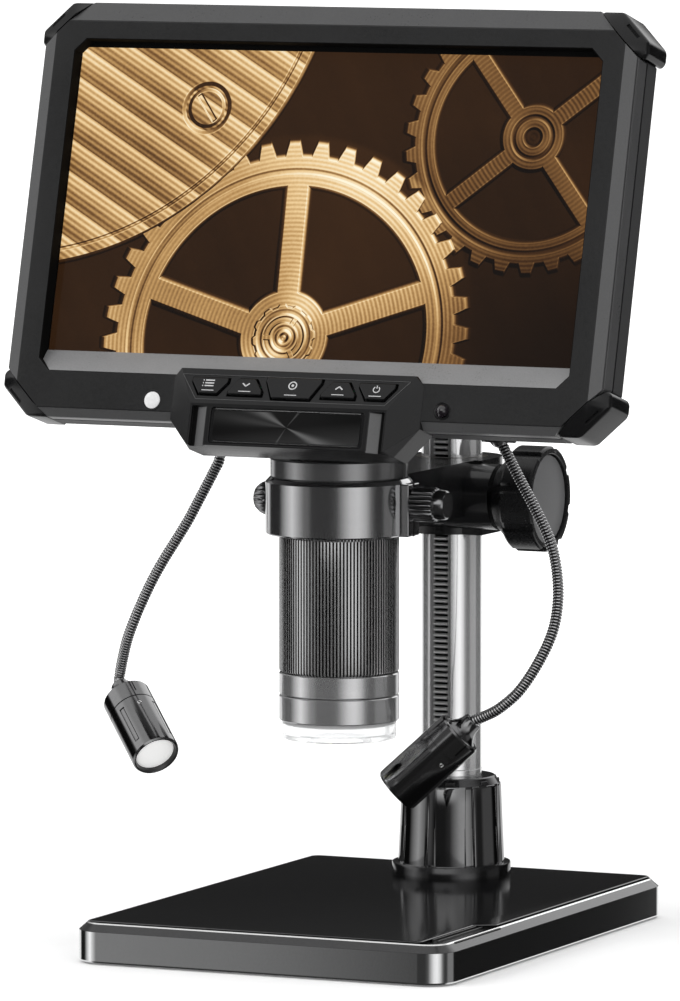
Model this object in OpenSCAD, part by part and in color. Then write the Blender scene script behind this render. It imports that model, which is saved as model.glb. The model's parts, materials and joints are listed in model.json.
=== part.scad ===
// LCD digital microscope: a tilting display on a clamped head, carried on a rack column.
// Millimetres, +Z up, -Y towards the person who uses it. The origin is the centre of the
// base's footprint, on the surface that the feet stand on.

/* [Base] */
// Width of the base
base_w = 109.5; // [90:0.5:140]
// Depth of the base
base_d = 151; // [140:0.5:180]
// Height of the base's upright side
base_side_h = 8.3; // [7.5:0.1:14]
// Rise of the chamfer round the top of the base
base_chamfer_h = 1.8; // [1:0.1:3]
// Run of the chamfer round the top of the base
base_chamfer_w = 2.2; // [1:0.1:4]
// Radius of the base's upright corners
base_corner_r = 8; // [5:0.5:14]
// Wall of the hollow base
base_wall = 4; // [2.5:0.1:6]
// Thickness of the base's deck under the panel
base_deck_t = 3; // [2:0.1:4]
// Height of the rubber feet under the base
foot_h = 1; // [0.8:0.1:4]
// Diameter of a rubber foot
foot_d = 11; // [8:0.5:14]
// Distance of a foot's centre from both edges of the base
foot_inset = 10.5; // [10:0.5:20]
// Thickness of the glossy top panel
panel_t = 2.4; // [1.8:0.1:4]
// How far the panel stands above the base
panel_proud = 0.9; // [0.4:0.1:1.2]
// Margin between the panel and the base's edge
panel_margin = 3.4; // [3:0.1:6]
// Width of the notch in the panel's front right corner
notch_w = 8.5; // [4:0.5:12]
// Length of that notch along the panel's edge
notch_l = 23; // [10:1:40]
// Thickness of the cover under the base
cover_t = 1.2; // [0.8:0.1:2]
// Diameter of a cover screw's shank
cover_screw_d = 3; // [2:0.5:4]

/* [Column] */
// Distance from the column's axis to the base's back edge
column_inset = 23.9; // [20:0.1:30]
// Diameter of the column
column_d = 16.8; // [14:0.1:20]
// Height of the column's top above the table
column_top_z = 200; // [190:1:240]
// Width of the slot that holds the rack
slot_w = 6.3; // [5.5:0.1:8]
// Radius of the collar's flange
flange_r = 16.4; // [15:0.1:20]
// Height of the collar's flange
flange_h = 3.2; // [2:0.1:6]
// Radius of the collar's body at its foot
collar_r_low = 14.6; // [13:0.1:16]
// Radius of the collar's body at its shoulder
collar_r_high = 13.7; // [12.5:0.1:15]
// Height of the collar
collar_h = 27.2; // [20:0.1:35]
// Height of the collar's rounded crown
crown_h = 1.9; // [1:0.1:4]
// Number of flutes round the collar
flute_count = 8; // [4:1:12]
// Diameter of the bolt that holds the column
column_bolt_d = 6; // [4:0.5:8]
// Height of the plug in the column's top
column_cap_h = 3; // [2:0.5:6]

/* [Focus drive] */
// Gear module of rack and pinion
gear_module = 0.5; // [0.5:0.1:0.6]
// Number of teeth on the pinion
pinion_teeth = 16; // [14:1:18]
// Height of the pinion's axis above the table, at rest
pinion_z = 117.8; // [112:0.1:130]
// Diameter of the pinion's shaft
shaft_d = 5; // [4:0.5:6]
// Radius of the focus knobs over their lobes
knob_r = 14.5; // [12:0.1:17]
// Outer face of a focus knob, from the middle
knob_face_x = 34.5; // [32:0.1:40]
// Length of a focus knob
knob_l = 13.5; // [10:0.1:18]
// Number of lobes round a knob
knob_lobes = 8; // [6:1:12]
// Radius of the flat cap on a knob
knob_cap_r = 12.9; // [9:0.1:14]

/* [Carriage] */
// Distance from the column's axis to the lens axis
reach = 74.1; // [70:0.1:90]
// Width of the arm
arm_w = 24; // [20:0.5:30]
// Height of the arm's top above the table, at rest
arm_top_z = 127.6; // [126:0.1:140]
// Height of the arm itself
arm_h = 15; // [12:0.1:18]
// Height of the carriage block round the column
carriage_h = 20.6; // [18:0.1:30]
// Radius of the carriage block round the column
carriage_r = 14; // [12.5:0.1:18]
// Radius of the cross boss that holds the pinion shaft
boss_r = 9; // [7:0.1:12]
// Half the length of that cross boss
boss_half_l = 19.5; // [15:0.1:20]
// Wall of the plain bushes
bush_wall = 1.5; // [1:0.1:2]
// Outer radius of the clamp ring
ring_r = 19.8; // [19:0.1:24]
// Height of the clamp ring
ring_h = 15.1; // [10:0.1:20]
// Distance of the ring's lug face from the lens axis
lug_face_x = 22; // [21:0.1:26]
// Width of the ring's lug
lug_w = 7.3; // [5.5:0.1:9]
// Diameter of the clamp screws
clamp_d = 4; // [3:0.5:4.5]
// Radius of the thumb screw's head
thumb_r = 4.7; // [4:0.1:6]
// Length of the thumb screw's head
thumb_l = 9.6; // [6:0.1:14]
// Projection of the domed clamp screw's head
dome_l = 4.8; // [3:0.1:6]

/* [Head] */
// Radius of the neck above the clamp ring
neck_r = 18.5; // [17.5:0.1:19]
// Height of the neck above the clamp ring
neck_h = 5.5; // [4:0.1:6]
// Radius of the spigot that the ring clamps
spigot_r = 16.6; // [16.4:0.1:17]
// Wall of the hollow head
head_wall = 2; // [1.5:0.1:2.5]
// Radius of the knurled focus sleeve
sleeve_r = 16.1; // [15.6:0.1:16.3]
// Length of the focus sleeve
sleeve_l = 36.7; // [25:0.1:37]
// Number of ribs round the focus sleeve
rib_count = 108; // [60:4:120]
// Depth of the grooves between the ribs
rib_depth = 0.35; // [0.2:0.05:0.5]
// Height of each nose ring
nose_h = 5.8; // [4:0.1:8]
// Gap at the seam between the nose rings
seam_gap = 0.3; // [0.2:0.05:0.6]
// Radius of the clear cover over the ring lamp
led_cover_r = 15.3; // [14:0.1:16]
// Height of that cover
led_cover_h = 5.1; // [3:0.1:8]
// Wall of that cover
led_cover_wall = 1.4; // [1:0.1:2]
// Number of lamps in the ring
led_count = 8; // [6:1:12]
// Wall of the lens tube
lens_tube_wall = 2; // [1.5:0.1:2.5]
// Length of the lens carrier
carrier_l = 22; // [12:1:30]

/* [Display] */
// Lean of the display at rest, in degrees from upright
lean = 15; // [10:1:16]
// Place of the display's front face, in front of the lens axis
display_y = 13.5; // [12:0.1:16]
// Height of the middle of the display's front face, at rest
display_z = 200.1; // [199:0.1:215]
// Run of the bevel at the sides of the display's front
bevel_w = 4.3; // [3:0.1:6]
// Half the width of the display over its sides
side_half_w = 87.5; // [86:0.1:92]
// Top of the flat front, above the middle
front_top = 50.2; // [49:0.1:52]
// Bottom of the flat front, below the middle
front_low = 55.8; // [54:0.1:56.5]
// Top of the display, above the middle
side_top = 56; // [55:0.1:60]
// Bottom of the display, below the middle
side_low = 58; // [57.5:0.1:60]
// Depth of the bezel's sloped border
border_t = 3; // [2:0.1:4]
// Depth of the front bezel
bezel_t = 6.5; // [6:0.1:8]
// Depth of the display at its edges
display_t = 15.5; // [15:0.1:20]
// Wall of the display's shells
shell_wall = 2.2; // [1.6:0.1:3]
// How far the bumpers stand out at the sides
bumper_proud = 1.5; // [0.8:0.1:3]
// Width of the frame beside the window
frame_w = 10.1; // [9.5:0.1:12]
// Top of the window, above the middle
window_top = 45.3; // [44.5:0.1:46]
// Bottom of the window, below the middle
window_low = 45.7; // [44:0.1:46]
// Rise of the sloped sill under the window
sill_rise = 6.2; // [4:0.1:8]
// Depth of the window
window_depth = 4.5; // [3:0.1:4.8]
// Corner cut of the window
window_cut = 3.4; // [2:0.1:6]
// Half the width of the rear housing
housing_half_w = 46; // [44:0.5:56]
// Depth of the rear housing behind the lens axis, at its foot
housing_back = 27; // [24:0.5:40]
// Height of the rear housing
housing_h = 62; // [50:1:75]

/* [Tilt hinge] */
// Height of the hinge pin above the neck's top
hinge_rise = 7.8; // [7.5:0.1:9]
// Radius of the hinge knuckle
knuckle_r = 6.4; // [5:0.1:6.8]
// Width of the hinge knuckle
knuckle_w = 19.4; // [14:0.1:24]
// Diameter of the hinge pin
hinge_pin_d = 5; // [4:0.5:6]
// Thickness of a bracket's ear
ear_t = 3; // [2:0.1:4]

/* [Control pod] */
// Half the width of the pod at its root
pod_half_w = 36.5; // [35:0.1:40]
// Half the width of the pod's lower face
pod_face_half_w = 28.6; // [26:0.1:32]
// Top of the pod, below the middle of the display
pod_top = 43.6; // [43:0.1:45]
// Edge between the pod's key face and its lower face
pod_break = 54; // [53.5:0.1:55]
// Bottom of the pod, below the middle of the display
pod_low = 66; // [65:0.1:68]
// How far the pod stands out
pod_proud = 4.8; // [4:0.1:8]
// Depth of the pod's lip under the display
pod_lip = 8.9; // [6:0.1:9]
// Travel of the keys
key_travel = 0.6; // [0.3:0.1:0.8]
// Gap round a key
key_gap = 0.35; // [0.25:0.05:0.6]
// Place of the outer keys
key_outer_x = 24.4; // [23.5:0.1:26]
// Place of the inner keys
key_inner_x = 13.6; // [13:0.1:14.5]
// Half the width of the dark plate
plate_half_w = 21.6; // [18:0.1:23]
// Height of the dark plate
plate_h = 8.7; // [6:0.1:9]

/* [Side lamps] */
// Radius of a gooseneck
neck_tube_r = 1.5; // [1.2:0.1:2]
// Distance from a lamp socket's axis to the rear housing's side
socket_inset = 5; // [4.8:0.1:7]
// Distance of the lamp sockets behind the lens axis
socket_back = 13; // [12:0.1:16]
// Radius of a lamp's housing
lamp_r = 6.65; // [5:0.05:8]
// Length of a lamp's housing
lamp_l = 23.8; // [18:0.1:30]

/* [Hidden] */
$fn = 64;

// Clearances
fit = 0.05;      // radial clearance of a running fit
seat = 0.02;     // clearance of pieces that are held together
air = 0.3;       // gap between pieces that move past each other
sliver = 0.02;   // thickness of a section that a hull starts or ends with
over = 1;        // how far a cut runs past the face that it opens

// Base
column_y = base_d / 2 - column_inset;
lens_y = column_y - reach;
base_top_z = foot_h + base_side_h + base_chamfer_h;
panel_top_z = base_top_z + panel_proud;
panel_low_z = panel_top_z - panel_t;
panel_w = base_w - 2 * panel_margin;
panel_d = base_d - 2 * panel_margin;
panel_r = base_corner_r - panel_margin;
panel_play = 0.4;
hollow_top_z = panel_low_z - base_deck_t;
cover_margin = base_wall + 0.2;
screw_post_r = 4;
screw_inset = foot_inset + 10;

// Column
column_r = column_d / 2;
slot_depth = 3.4;
slot_low_z = 41;
collar_top_z = panel_top_z + collar_h;
flute_w = 1.6;
flute_depth = 0.7;
bolt_head_h = 3;
column_bolt_l = 22;

// Rack and pinion
pitch = PI * gear_module;
pressure = 20;
backlash = 0.16;
rack_pitch_y = column_r - 1;
pinion_r = gear_module * pinion_teeth / 2;
pinion_y = column_y - rack_pitch_y - pinion_r;
pinion_w = 3.4;
rack_back = 1.7;
rack_tooth_w = 3.9;
rack_top_z = column_top_z - column_cap_h - 2;
shaft_half_l = knob_face_x - 3;

// Carriage
arm_low_z = arm_top_z - arm_h;
carriage_low_z = arm_top_z - carriage_h;
carriage_bore_r = column_r + bush_wall;
bush_h = 5;
shaft_bush_l = 5;
ring_top_z = arm_top_z + 0.2;
ring_low_z = ring_top_z - ring_h;
ring_bore_r = spigot_r + fit;
ring_chamfer = 1;
clamp_z = ring_top_z - 6.4;
ring_screw_d = 3;
ring_screw_z = [ring_low_z + 3.4, ring_low_z + 11.4];
ring_screw_l = 14;

// Head
neck_low_z = ring_top_z + 0.15;
neck_top_z = ring_top_z + neck_h;
spigot_low_z = ring_low_z + 0.3;
head_hollow_r = spigot_r - head_wall;
head_hollow_top_z = neck_top_z - head_wall;
sleeve_top_z = ring_low_z - 0.4;
sleeve_low_z = sleeve_top_z - sleeve_l;
lens_tube_r = head_hollow_r - seat;
nose_upper_top_z = sleeve_low_z - 0.2;
nose_upper_low_z = nose_upper_top_z - nose_h;
nose_lower_top_z = nose_upper_low_z - seam_gap;
nose_lower_low_z = nose_lower_top_z - nose_h - 1;
led_board_t = 1.4;
led_ring_r = 10.4;
led_size = [2.4, 2.4, 0.8];
skirt_h = 1.2;
skirt_wall = 1.18;
sensor_size = [8, 6, 1.5];
lens_tube_low_z = nose_lower_low_z + led_board_t;
tube_drop = 12;
lens_tube_top_z = neck_low_z - tube_drop;
led_cover_low_z = nose_lower_low_z - led_cover_h;
carrier_r = lens_tube_r - lens_tube_wall - 0.1;
carrier_rise = 12;
carrier_low_z = nose_lower_top_z + carrier_rise;
lens_bore_r = 7;
carrier_wall = 2.4;
lens_t = 3.2;
lens_places = [2, 10];

// Display: its own frame has x to the right, y up the screen and z out of it
frame_y = lens_y - display_y;
front_half_w = side_half_w - bevel_w;
window_half_w = side_half_w - frame_w;
hinge_z = neck_top_z + hinge_rise;
hinge_y = lens_y;
corner_cut = 7.6;
front_cut = 6;
step_t = 1;
step_inset = 0.9;
glass_margin = 5.5;
glass_top = window_top + 2.6;
glass_low = window_low + 2.9;
lcd_half_w = side_half_w - glass_margin - 1;
lcd_top = glass_top + 0.1;
lcd_low = glass_low - 1.6;
shell_chamfer = 3.5;
shell_screw_x = 50;
shell_screw_y = [50, -52];
shell_screw_d = 2.4;
shell_head_d = 4.4;
shell_head_h = 0.8;
shell_screw_l = display_t - 4.2;
glass_t = 1.1;
lcd_t = 3.2;
board_t = 1.6;
board_left = side_half_w - shell_wall - 1.3;
board_gap = [27.5, 22, 20];
board_right = side_half_w - board_gap[0];
board_top = side_top - board_gap[1];
board_low = side_low - board_gap[2];
bumper_cut = 13;
bumper_line = side_half_w + side_top - bumper_cut;
bumper_edge = 7.8;
bumper_ridge = 3.6;
bumper_inset = 4.4;
slit = [4.6, 0.8, 1.2];
slit_inset = [3.4, 5.2];
housing_low_z = hinge_z + 1;
pocket_half_w = knuckle_w / 2 + ear_t + 3.2;
pocket_top_z = hinge_z + knuckle_r + 4.4;
pocket_front = 9.5;
pocket_rear = 11.5;
pocket_rim = 8;
pocket_open = 12;
battery_size = [36, 8, 30];
port_depth = -window_depth - glass_t - lcd_t - board_t;
usb_size = [7, 9, 2.8];
usb_y = 8;
usb_wall = 0.35;
card_size = [12, 12.4, 1.8];
card_y = -12;
card_wall = 0.4;
port_inset = 0.4;

// Control pod
key_face_top_w = 0.9;
key_y = -48.8;
key_lean = atan((pod_proud - key_face_top_w) / (pod_break - pod_top));
key_h = 4.9;
ok_h = 6.3;
key_t = 2;
key_proud = 0.7;
key_board_t = 0.8;
key_board_w = 61;
key_board_low = -53.4;
key_board_h = 5;
plate_y = -59.8;
plate_t = 0.8;
window_x = 42.4;
window_y = -52.9;
light_window_r = 2.45;
dome_r = 1.9;

// Side lamps
lamp_ball_r = 2.6;
ball_gap = 0.1;
socket_lip = 0.9;
tension_screw_r = 1.2;
tension_screw_proud = 0.5;
socket_x = housing_half_w - socket_inset;
socket_r = 4.2;
socket_y = lens_y + socket_back;
socket_z = housing_low_z - 3.4;
lamp_wall = 1.2;
ferrule_l = 4.8;
ferrule_r = 2.6;
ferrule_bore_l = 1.2;
lamp_lens_t = 2;
lens_recess = 0.6;
// How each gooseneck runs, from its ball to its lamp
bend_left = [
    [0, 0, 0], [-0.6, 0, -8.2], [-2.5, 0.2, -12.2], [-7.1, 0.4, -20.2], [-10.4, 0.6, -25.8],
    [-14.3, 0.8, -31.6], [-18.1, 1, -37.1], [-21.6, 1.3, -42.7], [-24.6, 1.5, -48.3],
    [-27.4, 1.8, -54], [-30.3, 3.3, -59.7], [-33, 5.9, -65.5], [-34.6, 7.6, -69.4],
    [-34.6, 6.9, -71.6], [-33.3, 4.9, -72.6]];
path_left = [for (p = bend_left) [-socket_x, socket_y, socket_z] + p];
aim_left = [0.629, -0.501, -0.592];
bend_right = [
    [0, 0, 0], [1.8, 0, -3.2], [6.1, 0.2, -11], [10.4, 0.3, -18.4], [14.7, 0.4, -26.8],
    [16.6, 0.5, -34.3], [17, 0.7, -42.7], [15.5, 0.9, -51], [11.6, 1.1, -59.2],
    [5.8, 1.2, -67.6], [-0.1, 1.5, -72.7], [-4.6, 2.2, -75.1], [-8.4, 2.5, -76.7]];
path_right = [for (p = bend_right) [socket_x, socket_y, socket_z] + p];
aim_right = [-0.705, -0.207, -0.678];
path_steps = 2;
path_sides = 10;
ball_rings = [20, 45, 70, 95, 120];

// Helpers ---------------------------------------------------------------------------------

// A plate with round upright corners, centred on the axis
module rounded_plate(w, d, h, r) {
    linear_extrude(h) {
        square([w, d - 2 * r], center = true);
        square([w - 2 * r, d], center = true);
        for (x = [-1, 1], y = [-1, 1])
            translate([x * (w / 2 - r), y * (d / 2 - r)]) circle(r);
    }
}

// A round bar along X, centred on the origin
module cross_bar(r, l) {
    rotate([0, 90, 0]) cylinder(r = r, h = l, center = true);
}

// A ring standing on the origin
module tube(r_out, r_in, h) {
    difference() {
        cylinder(r = r_out, h = h);
        translate([0, 0, -over]) cylinder(r = r_in, h = h + 2 * over);
    }
}

// Places that repeat: four corners of a rectangle
module at_corners(x, y) {
    for (i = [-1, 1], j = [-1, 1]) translate([i * x, j * y, 0]) children();
}

// On the lens axis, at a height
module on_lens_axis(z) {
    translate([0, lens_y, z]) children();
}

// In the display's own frame
module on_display() {
    translate([0, frame_y, display_z]) rotate([90 - lean, 0, 0]) children();
}

// Back from the display's own frame to the model's
module in_model() {
    rotate([lean - 90, 0, 0]) translate([0, -frame_y, -display_z]) children();
}

// A point of the model's YZ plane, in the display's own frame
function on_screen(y, z) = [
    (z - display_z) * cos(lean) + (y - frame_y) * sin(lean),
    (z - display_z) * sin(lean) - (y - frame_y) * cos(lean)];

// An outline across YZ, carried along X
module across(width, points) {
    rotate([90, 0, 90]) translate([0, 0, -width / 2]) linear_extrude(width) polygon(points);
}

// The display's outline with its cut corners
function outline(half_w, top, low, cut) = [
    [half_w - cut, top], [half_w, top - cut], [half_w, -low + cut], [half_w - cut, -low],
    [-half_w + cut, -low], [-half_w, -low + cut], [-half_w, top - cut], [-half_w + cut, top]];

module section(half_w, top, low, cut, z) {
    translate([0, 0, z - sliver]) linear_extrude(sliver) polygon(outline(half_w, top, low, cut));
}

// Base ------------------------------------------------------------------------------------

module base_shell() {
    color("dimgray") difference() {
        union() {
            translate([0, 0, foot_h]) rounded_plate(base_w, base_d, base_side_h, base_corner_r);
            hull() at_corners(base_w / 2 - base_corner_r, base_d / 2 - base_corner_r)
                translate([0, 0, foot_h + base_side_h])
                    cylinder(r1 = base_corner_r, r2 = base_corner_r - base_chamfer_w,
                        h = base_chamfer_h, $fn = 32);
        }
        translate([0, 0, panel_low_z])
            rounded_plate(panel_w, panel_d, panel_t + over, panel_r);
        difference() {
            translate([0, 0, foot_h - over])
                rounded_plate(base_w - 2 * base_wall, base_d - 2 * base_wall,
                    hollow_top_z - foot_h + over, base_corner_r - base_wall);
            at_corners(base_w / 2 - screw_inset, base_d / 2 - screw_inset)
                translate([0, 0, foot_h + cover_t])
                    cylinder(r = screw_post_r, h = hollow_top_z);
        }
        at_corners(base_w / 2 - screw_inset, base_d / 2 - screw_inset)
            cylinder(d = cover_screw_d, h = hollow_top_z - 0.8);
        translate([0, column_y, 0])
            cylinder(d = column_bolt_d + 2 * fit, h = panel_top_z);
    }
}

module base_panel() {
    color("black") translate([0, 0, panel_low_z]) difference() {
        rounded_plate(panel_w - panel_play, panel_d - panel_play, panel_t, panel_r);
        translate([panel_w / 2 - notch_w, -panel_d / 2 - over, -over])
            cube([notch_w + over, notch_l + over, panel_t + 2 * over]);
        translate([0, column_y, -over])
            cylinder(d = column_bolt_d + 2 * fit, h = panel_t + 2 * over);
    }
}

module base_cover() {
    color("gray") translate([0, 0, foot_h]) difference() {
        rounded_plate(base_w - 2 * cover_margin, base_d - 2 * cover_margin, cover_t,
            base_corner_r - base_wall);
        at_corners(base_w / 2 - screw_inset, base_d / 2 - screw_inset) translate([0, 0, -over])
            cylinder(d = cover_screw_d + 2 * air, h = cover_t + 2 * over);
    }
}

module base_feet() {
    color("black") at_corners(base_w / 2 - foot_inset, base_d / 2 - foot_inset)
        cylinder(d = foot_d, h = foot_h);
}

module base_screws() {
    color("silver") at_corners(base_w / 2 - screw_inset, base_d / 2 - screw_inset) {
        translate([0, 0, foot_h - 0.8]) cylinder(d = cover_screw_d * 1.8, h = 0.8);
        translate([0, 0, foot_h - 0.8])
            cylinder(d = cover_screw_d - 2 * seat, h = hollow_top_z - foot_h - 0.4);
    }
}

// Column ----------------------------------------------------------------------------------

module column_collar() {
    color("black") translate([0, column_y, panel_top_z]) difference() {
        union() {
            cylinder(r = flange_r, h = flange_h);
            cylinder(r1 = collar_r_low, r2 = collar_r_high, h = collar_h - crown_h);
            translate([0, 0, collar_h - crown_h])
                cylinder(r1 = collar_r_high, r2 = collar_r_high - crown_h, h = crown_h);
        }
        translate([0, 0, -over]) cylinder(r = column_r + seat, h = collar_h + 2 * over);
        for (i = [0 : flute_count - 1]) rotate([0, 0, (i + 0.5) * 360 / flute_count])
            translate([collar_r_high - flute_depth, -flute_w / 2, flange_h + 0.8])
                cube([flute_depth + 4, flute_w, collar_h]);
    }
}

module column_bolt() {
    color("silver") translate([0, column_y, 0]) {
        translate([0, 0, hollow_top_z - bolt_head_h])
            cylinder(d = column_bolt_d * 1.7, h = bolt_head_h);
        translate([0, 0, hollow_top_z - bolt_head_h])
            cylinder(d = column_bolt_d - 2 * seat, h = column_bolt_l);
    }
}

module column_rod() {
    color("silver") translate([0, column_y, 0]) difference() {
        translate([0, 0, panel_top_z]) cylinder(r = column_r, h = column_top_z - panel_top_z);
        translate([-slot_w / 2, -column_r - over, slot_low_z])
            cube([slot_w, slot_depth + over, rack_top_z - slot_low_z + 1]);
        translate([0, 0, panel_top_z - over]) cylinder(d = column_bolt_d, h = column_bolt_l - 2);
        translate([0, 0, column_top_z - column_cap_h])
            cylinder(r = column_r - 3, h = column_cap_h + over);
    }
}

// One side view of the rack, as y towards the pinion and z up
function rack_tooth(z) = let (
        tip = gear_module * tan(pressure),
        root = gear_module * 1.25 * tan(pressure),
        half = pitch / 4 - backlash / 2) [
    [rack_pitch_y - gear_module * 1.25, z - half - root],
    [rack_pitch_y + gear_module, z - half + tip],
    [rack_pitch_y + gear_module, z + half - tip],
    [rack_pitch_y - gear_module * 1.25, z + half + root]];

module column_rack() {
    root_y = rack_pitch_y - gear_module * 1.25;
    first = ceil((slot_low_z + 1 - pinion_z) / pitch);
    last = floor((rack_top_z - 1 - pinion_z) / pitch);
    color("gray") translate([0, column_y, 0]) {
        translate([-slot_w / 2 + seat, -root_y, slot_low_z])
            cube([slot_w - 2 * seat, root_y - column_r + slot_depth, rack_top_z - slot_low_z]);
        mirror([0, 1, 0]) across(rack_tooth_w, concat(
            [[root_y - sliver, slot_low_z]],
            [for (k = [first : last]) each rack_tooth(pinion_z + k * pitch)],
            [[root_y - sliver, rack_top_z]]));
    }
}

module column_cap() {
    color("black") translate([0, column_y, column_top_z - column_cap_h]) {
        cylinder(r = column_r - 3 - seat, h = column_cap_h);
        translate([0, 0, column_cap_h]) cylinder(r = column_r, h = 1.2);
    }
}

// Carriage --------------------------------------------------------------------------------

module carriage_body() {
    color("black") difference() {
        union() {
            translate([0, column_y, carriage_low_z]) cylinder(r = carriage_r, h = carriage_h);
            translate([-carriage_r, pinion_y, carriage_low_z])
                cube([2 * carriage_r, column_y - pinion_y, carriage_h]);
            translate([-arm_w / 2, lens_y, arm_low_z])
                cube([arm_w, pinion_y - lens_y + sliver, arm_h]);
            translate([0, pinion_y, pinion_z]) cross_bar(boss_r, 2 * boss_half_l);
        }
        on_lens_axis(arm_low_z - over) cylinder(r = ring_r + seat, h = arm_h + 2 * over);
        translate([0, column_y, carriage_low_z - over])
            cylinder(r = column_r + 0.6, h = carriage_h + 2 * over);
        for (z = [carriage_low_z - over, arm_top_z - bush_h])
            translate([0, column_y, z]) cylinder(r = carriage_bore_r, h = bush_h + over);
        translate([0, pinion_y, pinion_z]) {
            cross_bar(shaft_d / 2 + air, 2 * boss_half_l + over);
            cross_bar(pinion_r + 2 * gear_module + air, pinion_w + 2 * air);
            for (x = [-1, 1]) translate([x * (boss_half_l - shaft_bush_l / 2), 0, 0])
                cross_bar(shaft_d / 2 + bush_wall, shaft_bush_l + sliver);
        }
        for (z = ring_screw_z) translate([0, lens_y + ring_r - over, z])
            rotate([-90, 0, 0]) cylinder(d = ring_screw_d, h = ring_screw_l);
    }
}

module column_bushes() {
    color("goldenrod") for (z = [carriage_low_z, arm_top_z - bush_h])
        translate([0, column_y, z])
            tube(carriage_bore_r - seat, column_r + fit, bush_h);
}

module shaft_bushes() {
    color("goldenrod") for (x = [-1, 1])
        translate([x * (boss_half_l - shaft_bush_l / 2), pinion_y, pinion_z])
            rotate([0, 90, 0]) translate([0, 0, -shaft_bush_l / 2])
                tube(shaft_d / 2 + bush_wall - seat, shaft_d / 2 + fit, shaft_bush_l);
}

module holder_ring() {
    color("black") difference() {
        union() {
            on_lens_axis(ring_low_z) cylinder(r = ring_r, h = ring_h - ring_chamfer);
            on_lens_axis(ring_top_z - ring_chamfer)
                cylinder(r1 = ring_r, r2 = ring_r - ring_chamfer, h = ring_chamfer);
            translate([0, lens_y - lug_w / 2, ring_low_z])
                cube([lug_face_x, lug_w, ring_h - ring_chamfer]);
        }
        on_lens_axis(ring_low_z - over) cylinder(r = ring_bore_r, h = ring_h + 2 * over);
        on_lens_axis(clamp_z) cross_bar(clamp_d / 2 + fit, 3 * ring_r);
        for (z = ring_screw_z) translate([0, lens_y, z]) rotate([-90, 0, 0]) {
            cylinder(d = ring_screw_d + 2 * fit, h = 2 * ring_r);
            cylinder(d = ring_screw_d * 2, h = ring_bore_r + 1.6);
        }
    }
}

module ring_screws() {
    color("silver") for (z = ring_screw_z) translate([0, lens_y, z]) rotate([-90, 0, 0]) {
        translate([0, 0, ring_bore_r + 0.2])
            cylinder(d = ring_screw_d * 2 - 2 * fit, h = 1.4);
        translate([0, 0, ring_bore_r + 0.2])
            cylinder(d = ring_screw_d - 2 * seat, h = ring_screw_l);
    }
}

// Focus drive -----------------------------------------------------------------------------

// Half the angle that a pinion tooth takes at a radius
function involute(a) = tan(a) * 180 / PI - a;
function base_radius() = pinion_r * cos(pressure);
function tooth_half(r) = 90 / pinion_teeth - (backlash / 2) / pinion_r * 90 / PI
    + involute(pressure) - (r > base_radius() ? involute(acos(base_radius() / r)) : 0);
function polar(r, a) = [r * cos(a), r * sin(a)];

module pinion_shaft() {
    root_r = pinion_r - gear_module * 1.25;
    tip_r = pinion_r + gear_module * 0.95;
    color("silver") translate([0, pinion_y, pinion_z]) {
        across(pinion_w, [for (i = [0 : pinion_teeth - 1])
            let (a = (i + 0.5) * 360 / pinion_teeth) each [
                polar(root_r, a - tooth_half(base_radius())),
                polar(pinion_r, a - tooth_half(pinion_r)),
                polar(tip_r, a - tooth_half(tip_r)),
                polar(tip_r, a + tooth_half(tip_r)),
                polar(pinion_r, a + tooth_half(pinion_r)),
                polar(root_r, a + tooth_half(base_radius()))]]);
        for (x = [-1, 1]) translate([x * (shaft_half_l + pinion_w / 2) / 2, 0, 0])
            cross_bar(shaft_d / 2, shaft_half_l - pinion_w / 2);
    }
}

// A lobed knob on the +X side, with its shaft bore from the inner end
module knob() {
    hub_r = 9.5;
    cone_l = 4.6;
    rim_l = 1.2;
    lobe_r = 4;
    waist_r = knob_r - 1.2;
    body_l = knob_l - cone_l;
    color("black") translate([knob_face_x - knob_l, pinion_y, pinion_z]) rotate([0, 90, 0])
        difference() {
            union() {
                cylinder(r1 = hub_r, r2 = waist_r - 0.2, h = cone_l);
                translate([0, 0, cone_l]) linear_extrude(body_l) {
                    circle(r = waist_r);
                    for (i = [0 : knob_lobes - 1]) rotate(i * 360 / knob_lobes)
                        translate([knob_r - lobe_r, 0]) circle(r = lobe_r);
                }
            }
            translate([0, 0, -over]) cylinder(r = shaft_d / 2 + seat, h = knob_l - 2);
            translate([0, 0, knob_l - rim_l]) cylinder(r = knob_cap_r + seat, h = rim_l + over);
        }
}

module knob_right() {
    knob();
}

module knob_left() {
    mirror([1, 0, 0]) knob();
}

module knob_caps() {
    color("gray") for (x = [-1, 1])
        translate([x * (knob_face_x - 0.6), pinion_y, pinion_z])
            cross_bar(knob_cap_r, 1.2);
}

// Clamp screws ----------------------------------------------------------------------------

module clamp_screw_right() {
    head_x = lug_face_x + air;
    crown_l = 2.8;
    color("dimgray") on_lens_axis(clamp_z) rotate([0, 90, 0]) {
        translate([0, 0, spigot_r + 0.2])
            cylinder(d = clamp_d, h = head_x - spigot_r);
        translate([0, 0, head_x]) cylinder(r = thumb_r, h = thumb_l - crown_l);
        translate([0, 0, head_x + thumb_l - crown_l])
            cylinder(r1 = thumb_r - 0.7, r2 = thumb_r - 1.4, h = crown_l);
    }
}

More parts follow.
